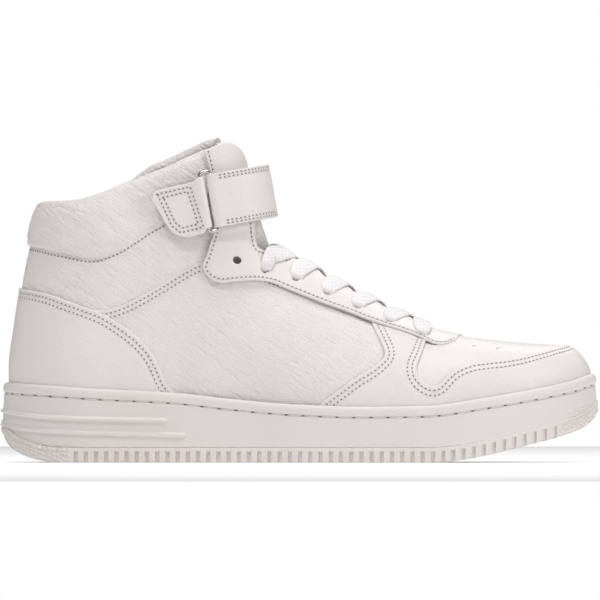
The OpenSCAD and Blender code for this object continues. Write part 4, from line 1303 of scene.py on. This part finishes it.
def lining():
    chart = WRAP
    ends = [chart.find([(-50, 100)], side)[0][0] for side in (LATERAL, MEDIAL)]
    u = np.linspace(ends[0], ends[1], 240)
    top = height_on_row(chart, u, topline) - COLLAR_DOWN + 3
    t = np.linspace(0, 1, 40)
    uu = np.repeat(u, len(t))
    x = chart.at(u, 0 * u)[0][:, 0]
    low = board_line(x) + 0.6 - feather(x)
    vv = (low[:, None] + (top - low)[:, None] * t[None, :]).ravel()

    def face(d):
        p, n = chart.at(uu, vv, d)
        return (p + n * sag(p, 0.3, 18.0, 9)[:, None]).reshape(len(u), len(t), 3)
    obj = sheet_solid("ankle_lining", face(-1.8), face(-2.8), [LINING])
    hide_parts("lining")


# ---- Tongue ----

TONGUE_LOW = [(78, 58.5), (66, 64.4), (48, 73.2), (31, 82.2), (14, 91.3), (0, 99.4), (-9, 103.8)]
TONGUE_TOP = [(-14.3, 106.9), (-17, 114), (-20, 124), (-23.4, 136), (-26.8, 147), (-30.2, 157), (-34.2, 162.6)]


def tongue_part(name, path, leans, halves, depths, thicks, body, node_name, round_ends, round_off=2.0):
    line = spline(path, 1.0)
    n, m = len(line), 49
    verts = []
    for i, (x, z) in enumerate(line):
        t = i / (n - 1)
        lean = math.radians(mix(*leans, t))
        half, depth, thick = mix(*halves, t), mix(*depths, t), mix(*thicks, t)
        from_end = np.linalg.norm(line[-1] - line[i])
        from_start = np.linalg.norm(line[0] - line[i])
        close = (1 - (1 - min(1, from_end / 5.5)) ** 2) ** 0.5 if round_ends else 1
        close = close * (1 - (1 - min(1, from_start / 2.5)) ** 2) ** 0.5
        close = max(0.12, close)
        half = half * (1 - (0.30 * (1 - min(1, from_end / 12)) ** 2.4 if round_ends else 0))
        back = np.array([-math.cos(lean), 0, -math.sin(lean)])
        r = np.sin(np.linspace(-math.pi / 2, math.pi / 2, m))
        solid = thick * (1 - 0.45 * np.abs(r) ** 3) * np.sqrt(np.maximum(0, 1 - np.abs(r) ** 7)) * close
        edge = half * (1 - np.abs(r))
        hem = 0.5 * np.exp(-((edge - 3.4) / 0.8) ** 2)
        if round_ends:
            hem = np.maximum(hem, 0.5 * math.exp(-((from_end - 4.6) / 0.8) ** 2) * (edge > 3))
        place_at = np.array([x, 0, z])
        front = depth * np.abs(r) ** round_off + 0.2 + (thick - solid) * 0.5 + hem
        behind = front + np.maximum(0.05, solid - hem * 1.6)
        y = centre(x) + half * r
        base = place_at[None, :] + np.stack([0 * r, y, 0 * r], axis=1)
        loop = [base + back * front[:, None], (base + back * behind[:, None])[::-1]]
        loop = np.vstack(loop)
        puff = sag(loop, 0.5, 11.0, 21) + creases(loop, 0.25, 80)
        verts.append(loop + np.where(np.arange(2 * m) < m, -1, 1)[:, None] * back
                     * (puff * 0.6)[:, None])
    verts = np.array(verts)
    faces = grid_faces(n, 2 * m, closed=True) + [tuple(range(2 * m))[::-1],
                                                 tuple((n - 1) * 2 * m + j for j in range(2 * m))]
    obj = make(name, verts.reshape(-1, 3), faces, [CREASED if body == "tongue" else SMOOTH], body=body, sharp=60)
    face_out(obj)
    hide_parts(node_name)


def tongue():
    tongue_part("tongue_flap", TONGUE_LOW, (62, 56), (18.3, 18.0), (7.5, 7.5), (3, 6), "shoe", "tongue_base",
                False)
    tongue_part("tongue_cushion", TONGUE_TOP, (24, 12), (16.5, 15.0), (8, 5.5), (7, 4.6), "tongue", "tongue_top", True,
                3.0)


# ---- Laces ----

LACE_WIDE, LACE_THICK, LACE_LEAN = 9.8, 1.5, 5.2


def lace_strip(path, normal, wide, thick):
    """A flat woven lace along a path, its face towards the normal."""
    tangent = unit(np.gradient(path, axis=0))
    side = unit(np.cross(tangent, normal))
    up = unit(np.cross(side, tangent))
    a = np.arange(20) * 2 * math.pi / 20
    c, s = np.cos(a), np.sin(a)
    across = np.sign(c) * np.abs(c) ** 0.55
    rise = np.sign(s) * np.abs(s) ** 0.8 * thick / 2 - 0.45 * across ** 2
    verts = (path[:, None, :] + side[:, None, :] * (wide[:, None] / 2 * across[None, :])[:, :, None]
             + up[:, None, :] * rise[None, :, None])
    n, m = len(path), len(a)
    faces = grid_faces(n, m, closed=True) + [tuple(range(m))[::-1], tuple((n - 1) * m + j for j in range(m))]
    return verts.reshape(-1, 3), faces


def laces():
    chart = section_chart(-45, 80)
    holes = {side: FRONT[side].at(*eyelet_uv(side).T)[0] for side in (LATERAL, MEDIAL)}
    axes = {side: FRONT[side].at(*eyelet_uv(side).T)[1] for side in (LATERAL, MEDIAL)}
    verts, faces = [], []

    def on_surface(plan, d):
        rows = np.clip(np.round((plan[:, 0] + 45) / 0.5).astype(int), 0, len(chart.u) - 1)
        v = np.array([np.interp(y, chart.p[r, :, 1], chart.v[r]) for r, y in zip(rows, plan[:, 1])])
        return chart.at(plan[:, 0], v, d)

    def run(i, side, j, over, both_outside=False):
        """From eyelet i on one side, up over the facing, across the tongue and under the other facing."""
        a, b = holes[side][i], holes[-side][j]
        t = np.linspace(0, 1, 100)
        lean = 0.0 if both_outside else LACE_LEAN * (2.15 if i == 1 else 1.0)
        x = a[0] + lean * ease(t / (0.46 if i == 1 else 0.4)) + (b[0] - a[0] - lean) * ease((t - 0.38) / 0.56)
        plan = np.stack([x, mix(a[1], b[1], t)], axis=1)
        d = 1.5 + 3.7 * ease(t / 0.07)
        d = mix(d, over, ease((t - 0.30) / 0.2))
        wide = LACE_WIDE * (0.66 + 0.34 * ease(t / 0.2))
        if both_outside:
            d = mix(d, d[::-1], ease((t - 0.4) / 0.2))
            wide = np.minimum(wide, wide[::-1])
        else:
            d = mix(d, 1.9, ease((t - 0.60) / 0.19))
            wide = wide * (1 - 0.25 * ease((t - 0.7) / 0.2))
        p, n = on_surface(plan, d)
        near = (1 - ease(t / 0.16))[:, None]
        p = mix(p, a + axes[side][i] * d[:, None], near)
        n = unit(mix(n, axes[side][i], near))
        if both_outside:
            near = near[::-1]
            p = mix(p, b + axes[-side][j] * d[:, None], near)
            n = unit(mix(n, axes[-side][j], near))
        for _ in range(160 if i == 1 else 40):
            p[13:-13] = (p[12:-14] + 2 * p[13:-13] + p[14:-12]) / 4
        v, f = lace_strip(p, n, wide, LACE_THICK)
        faces.extend(tuple(k + sum(len(w) for w in verts) for k in each) for each in f)
        verts.append(v)
    run(6, LATERAL, 6, 4.6, True)
    for i in range(1, 6):
        run(i, LATERAL, i + 1, 5.2 if i > 1 else 4.4)
        run(i, MEDIAL, i + 1, 3.4)
    obj = make("lace_weave", np.vstack(verts), faces, [LACE], sharp=50)
    face_out(obj)
    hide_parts("lace")


# ---- Ankle strap: built in its own frame, x forward along the strap, z along the ring's bars ----

STRAP_ORIGIN, STRAP_TILT = np.array([-43, -1.8, 132.0]), math.radians(10)
STRAP_U = np.array([math.cos(STRAP_TILT), 0, math.sin(STRAP_TILT)])
STRAP_V = np.array([-math.sin(STRAP_TILT), 0, math.cos(STRAP_TILT)])
STRAP_HALF, STRAP_THICK, BAR_Y, RING_PITCH, EYE_R, BORE_R = 13.5, 2.2, -33.4, 5.5, 2.15, 1.3
CORNER_R, CORNER_X, CORNER_Y, TIP_END, TIP_R = 26.0, 3.0, 7.4, -26.0, 14.0


def from_strap(p):
    p = np.asarray(p, float)
    return STRAP_ORIGIN + p[..., :1] * STRAP_U + p[..., 1:2] * np.array([0, 1, 0]) + p[..., 2:3] * STRAP_V


def strap_turn(v):
    return v[..., :1] * STRAP_U + v[..., 1:2] * np.array([0, 1, 0]) + v[..., 2:3] * STRAP_V


def loop_normals(loop):
    t = unit(np.roll(loop, -1, axis=0) - np.roll(loop, 1, axis=0))
    n = np.stack([t[:, 1], -t[:, 0]], axis=1)
    return n * area_sign(loop)


def strip_solid(name, loop, low, high, materials, groove, hole=None, body=None, soften=0.38):
    """A profile in the strap's x and y, drawn out along z between low and high, with rounded edges."""
    edge = np.array([0, 0.08, 0.22, 0.45, 0.8])
    inner = np.linspace(0, 1, 47)
    normal = loop_normals(loop)
    rings = []
    stations = [("a", e) for e in edge] + [("m", t) for t in inner[1:-1]] + [("b", e) for e in edge[::-1]]
    for kind, value in stations:
        z = low + value if kind == "a" else high - value if kind == "b" else mix(low + 0.8, high - 0.8, value)
        gap = np.minimum(z - low, high - z)
        shrink = soften * (1 - np.sqrt(1 - (1 - np.minimum(gap / 0.8, 1)) ** 2))
        p = loop - normal * (shrink + groove(loop, z, gap))[:, None]
        rings.append(np.column_stack([p, z]))
    m, n = len(loop), len(rings)
    verts = np.vstack(rings)
    faces = grid_faces(n, m, closed=True)
    rims = [loop] + ([hole] if hole is not None else [])
    points, edges = [], []
    for each in rims:
        s = len(points)
        points += [Vector(p) for p in each]
        edges += [(s + i, s + (i + 1) % len(each)) for i in range(len(each))]
    cdt_verts, _, tris, *_ = delaunay_2d_cdt(points, edges, [], 0, 1e-5)
    flat = np.array([tuple(v) for v in cdt_verts])
    tris = np.array([t for t in tris if len(t) == 3])
    mid = flat[tris].mean(1)
    keep = inside(mid, loop)
    if hole is not None:
        keep &= ~inside(mid, hole)
    tris = tris[keep]
    if hole is not None:
        z0, z1 = float(low[0]), float(high[0])
        k = len(hole)
        start = len(verts)
        verts = np.vstack([verts] + [np.column_stack([hole, np.full(k, z)]) for z in (z0, z1)])
        faces += [(start + i, start + (i + 1) % k, start + k + (i + 1) % k, start + k + i) for i in range(k)]
        bottom = np.concatenate([np.arange(m), start + np.arange(k)])
        top = np.concatenate([(n - 1) * m + np.arange(m), start + k + np.arange(k)])
    else:
        bottom, top = np.arange(m), (n - 1) * m + np.arange(m)
    faces += [tuple(bottom[t][::-1]) for t in tris] + [tuple(top[t]) for t in tris]
    obj = make(name, from_strap(verts), faces, materials, body=body, sharp=50)
    face_out(obj)
    return obj


def arc(cx, cy, r, a, b, n):
    t = np.radians(np.linspace(a, b, n))
    return np.stack([cx + r * np.cos(t), cy + r * np.sin(t)], axis=1)


def strap_outer(r):
    """The strap's outer or inner line from the ring bar to the tip, r from the corner centres."""
    off = r - CORNER_R
    xs = np.linspace(0.4, CORNER_X, 5)[:-1]
    near = np.stack([xs, BAR_Y - off + 0 * xs], axis=1)
    flat = np.linspace(-CORNER_Y, CORNER_Y, 12)
    front = np.stack([CORNER_X + r + 0 * flat, flat], axis=1)
    xs = np.linspace(CORNER_X, TIP_END, 34)
    far = np.stack([xs, -BAR_Y + off + 0 * xs], axis=1)
    return np.vstack([near, arc(CORNER_X, -CORNER_Y, r, -90, 0, 46), front[1:],
                      arc(CORNER_X, CORNER_Y, r, 0, 90, 46)[1:], far[1:]])


def strap():
    half = STRAP_THICK / 2
    outer, inner = strap_outer(CORNER_R + half), strap_outer(CORNER_R - half)
    swell = (EYE_R - half) * (1 - ease(outer[:, 0] / 8)) * (outer[:, 1] < 0)
    outer[:, 1] -= swell
    inner[:, 1] += swell * 0.8
    middle = int(np.argmax((outer[:, 0] > CORNER_X + CORNER_R) & (outer[:, 1] >= -0.01)))
    fold = arc(0, BAR_Y, EYE_R, 80, 280, 26)
    rows = (1.2, 2.7)

    def groove(loop, z, gap):
        return sum(0.2 * np.exp(-((gap - row) / 0.5) ** 2) for row in rows) - 0.12 * ease((gap - 3.5) / 3)

    bore = arc(0, BAR_Y, BORE_R, 0, 345, 24)
    loop_a = np.vstack([outer[:middle + 1], inner[:middle + 1][::-1], fold])
    loop_b = np.vstack([outer[middle:], inner[middle:][::-1]])
    s_a, s_b = (Stitches(pitch=2.3, length=1.7, radius=0.24) for _ in range(2))
    normal = unit(np.stack([np.gradient(outer[:, 1]), -np.gradient(outer[:, 0])], axis=1))
    for stitch, part in ((s_a, slice(6, middle + 1)), (s_b, slice(middle, len(outer) - 4))):
        p, n = outer[part], normal[part]
        for row in rows:
            for sign in (-1, 1):
                reach = tip_half(p[:, 0], p[:, 1])
                z = sign * (reach - row)
                stitch.row(from_strap(np.column_stack([p - n * 0.12, z])),
                           strap_turn(np.column_stack([n, 0 * z])))
    level = STRAP_HALF + 0 * loop_a[:, 0]
    pieces = [strip_solid("strap_outside", loop_a, -level, level, [STRAP], groove, hole=bore),
              s_a.build("strap_outside_thread", body=None)]
    ends = tip_half(loop_b[:, 0], loop_b[:, 1])
    far = [strip_solid("strap_inside", loop_b, -ends, ends, [STRAP], groove),
           s_b.build("strap_inside_thread", body=None)]
    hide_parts("strap_near", "strap_front")
    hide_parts("strap_tip")

    for each in pieces:
        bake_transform(each)
    for each in far:
        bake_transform(each)


def tip_half(x, y):
    """Half the strap's width, rounded off at the tip."""
    over = np.clip((TIP_END + 12 - x) / TIP_R, 0, 0.97)
    rounded = np.minimum(STRAP_HALF, TIP_R * np.sqrt(1 - over ** 2))
    return np.where((y > 0) & (x < TIP_END + 12), rounded, STRAP_HALF)


TAB_TOP = curve([(-31, 6.6), (-30.4, 8.0), (-29.3, 9.3), (-27.5, 10.1), (-18, 10.6), (-9.6, 11.2),
                 (-5.5, 13), (0, 13)])
TAB_LOW = curve([(-31, 5.2), (-30.2, 3.2), (-28.9, 0.4), (-25.8, -8.4), (-22.8, -13), (-19.5, -15),
                 (-15, -15.8), (-8.5, -15.2), (-5.5, -13), (0, -13)])
TAB_ROWS = [[(-27.8, 8.1), (-10.9, 9.0), (-7.9, -12.2), (-19.6, -13), (-23.6, -8.7), (-27.8, 8.1)],
            [(-25.2, 6.0), (-12.7, 6.8), (-10.2, -10.2), (-18.6, -10.8), (-21.6, -7.4), (-25.2, 6.0)]]


def tab():
    xs = np.concatenate([np.linspace(-31, -27, 14), np.linspace(-26.4, -5.5, 44)])
    rise = (EYE_R - 0.5) * ease((xs + 13) / 7.5) + 0.5
    outer = np.stack([xs, BAR_Y - rise], axis=1)
    inner = np.stack([xs, BAR_Y + 1.5 + (EYE_R - 1.5) * ease((xs + 9) / 3.5)], axis=1)
    outer, inner = outer[:-1], inner[:-1]
    eye = arc(-RING_PITCH, BAR_Y, EYE_R, -90, 90, 22)
    loop = np.vstack([outer, eye, inner[::-1]])
    lines = [resample(np.array(r, float), 0.6) for r in TAB_ROWS]
    normal = loop_normals(loop)

    def groove(p, z, gap):
        flat = np.column_stack([p[:, 0], z])
        on_top = (normal[:, 1] < -0.5)
        return on_top * sum(0.26 * np.exp(-(distance(flat, line) / 0.55) ** 2) for line in lines)
    obj = strip_solid("strap_tab", loop, TAB_LOW(loop[:, 0]), TAB_TOP(loop[:, 0]), [STRAP], groove,
                      hole=arc(-RING_PITCH, BAR_Y, BORE_R, 0, 345, 24), body="shoe", soften=0.45)
    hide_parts("strap_anchor_tab")
    s = Stitches(pitch=2.2, length=1.65, radius=0.24)
    for line in lines:
        y = BAR_Y - ((EYE_R - 0.5) * ease((line[:, 0] + 13) / 7.5) + 0.5) + 0.12
        p = np.column_stack([line[:, 0], y, line[:, 1]])
        s.row(from_strap(p), strap_turn(np.column_stack([0 * y, 0 * y - 1, 0 * y])))
    s.build("strap_tab_thread")


def dress_cad_nodes():
    """Better materials on the CAD solids that stay."""
    keep = {"strap_ring": METAL, "hook_patch": FLEECE, "loop_patch": FLEECE, "sockliner": LINING,
            "vamp_lining": LINING,
            "midsole": RUBBER, "lasting_board": LINING, "counter_stiffener": LINING, "toe_puff": LINING}
    for name, material in keep.items():
        obj = bpy.data.objects[name]
        obj.data.materials.clear()
        obj.data.materials.append(material)


# ---- Floor, lights and camera ----

def stage():
    floor_material, tree, shader = new_material("floor")
    grain = node(tree, "ShaderNodeTexNoise", [(place(tree), "Vector")], Scale=6, Detail=2)
    tone = ramp(tree, grain.outputs["Fac"], [(0.2, (0.94, 0.94, 0.94)), (0.8, (0.96, 0.96, 0.96))])
    tree.links.new(tone.outputs["Color"], shader.inputs["Base Color"])
    shader.inputs["Roughness"].default_value = 0.95
    shader.inputs["Emission Color"].default_value = (1, 1, 1, 1)
    shader.inputs["Emission Strength"].default_value = 0.14
    size = 1500
    floor = make("floor", [(-size, -size, 0), (size, -size, 0), (size, size, 0), (-size, size, 0)],
                 [(0, 1, 2, 3)], [floor_material], body=None)
    world = bpy.data.worlds.new("studio")
    bpy.context.scene.world = world
    bpy.context.scene.view_settings.view_transform = "Standard"
    world.use_nodes = True
    tree = world.node_tree
    soft = tree.nodes["Background"]
    soft.inputs["Color"].default_value = (1.0, 0.995, 0.99, 1)
    soft.inputs["Strength"].default_value = 0.22
    backdrop = node(tree, "ShaderNodeBackground", Strength=1.0)
    backdrop.inputs["Color"].default_value = (1, 1, 1, 1)
    seen = node(tree, "ShaderNodeLightPath")
    both = node(tree, "ShaderNodeMixShader", [(seen.outputs["Is Camera Ray"], 0), (soft.outputs[0], 1),
                                              (backdrop.outputs[0], 2)])
    tree.links.new(both.outputs[0], tree.nodes["World Output"].inputs["Surface"])
    aim = Vector((0, 0, 0.07))
    for name, at, size, power in (("key", (-0.5, -0.8, 1.65), 0.35, 11.5), ("fill", (1.4, -0.85, 0.8), 0.7, 9),
                                  ("back", (0.4, 1.3, 1.2), 0.7, 5), ("overhead", (0.1, -0.1, 1.7), 0.6, 10.5)):
        data = bpy.data.lights.new(name, "AREA")
        data.size, data.energy = size, power
        light = bpy.data.objects.new(name, data)
        light.location = at
        light.rotation_euler = (aim - light.location).to_track_quat("-Z", "Y").to_euler()
        bpy.context.scene.collection.objects.link(light)


VIEW_WIDTH, VIEW_HEIGHT_AT = 0.3024, 0.0819


def camera():
    data = bpy.data.cameras.new("camera")
    distance_m = 14.0
    data.sensor_width = 36
    data.lens = 36 * (distance_m - 0.03) / VIEW_WIDTH
    data.clip_end = 50
    cam = bpy.data.objects.new("camera", data)
    cam.location = (0, -distance_m, VIEW_HEIGHT_AT)
    cam.rotation_euler = (math.pi / 2, 0, 0)
    bpy.context.scene.collection.objects.link(cam)
    bpy.context.scene.camera = cam


camera()
stage()
cupsole()
outsole()
vamp()
mudguard()
for SIDE, SIDE_NAME in ((LATERAL, "lateral"), (MEDIAL, "medial")):
    side_panel(SIDE, SIDE_NAME)
quarters()
heel_counter()
facing()
collar()
lining()
tongue()
laces()
strap()
tab()
dress_cad_nodes()
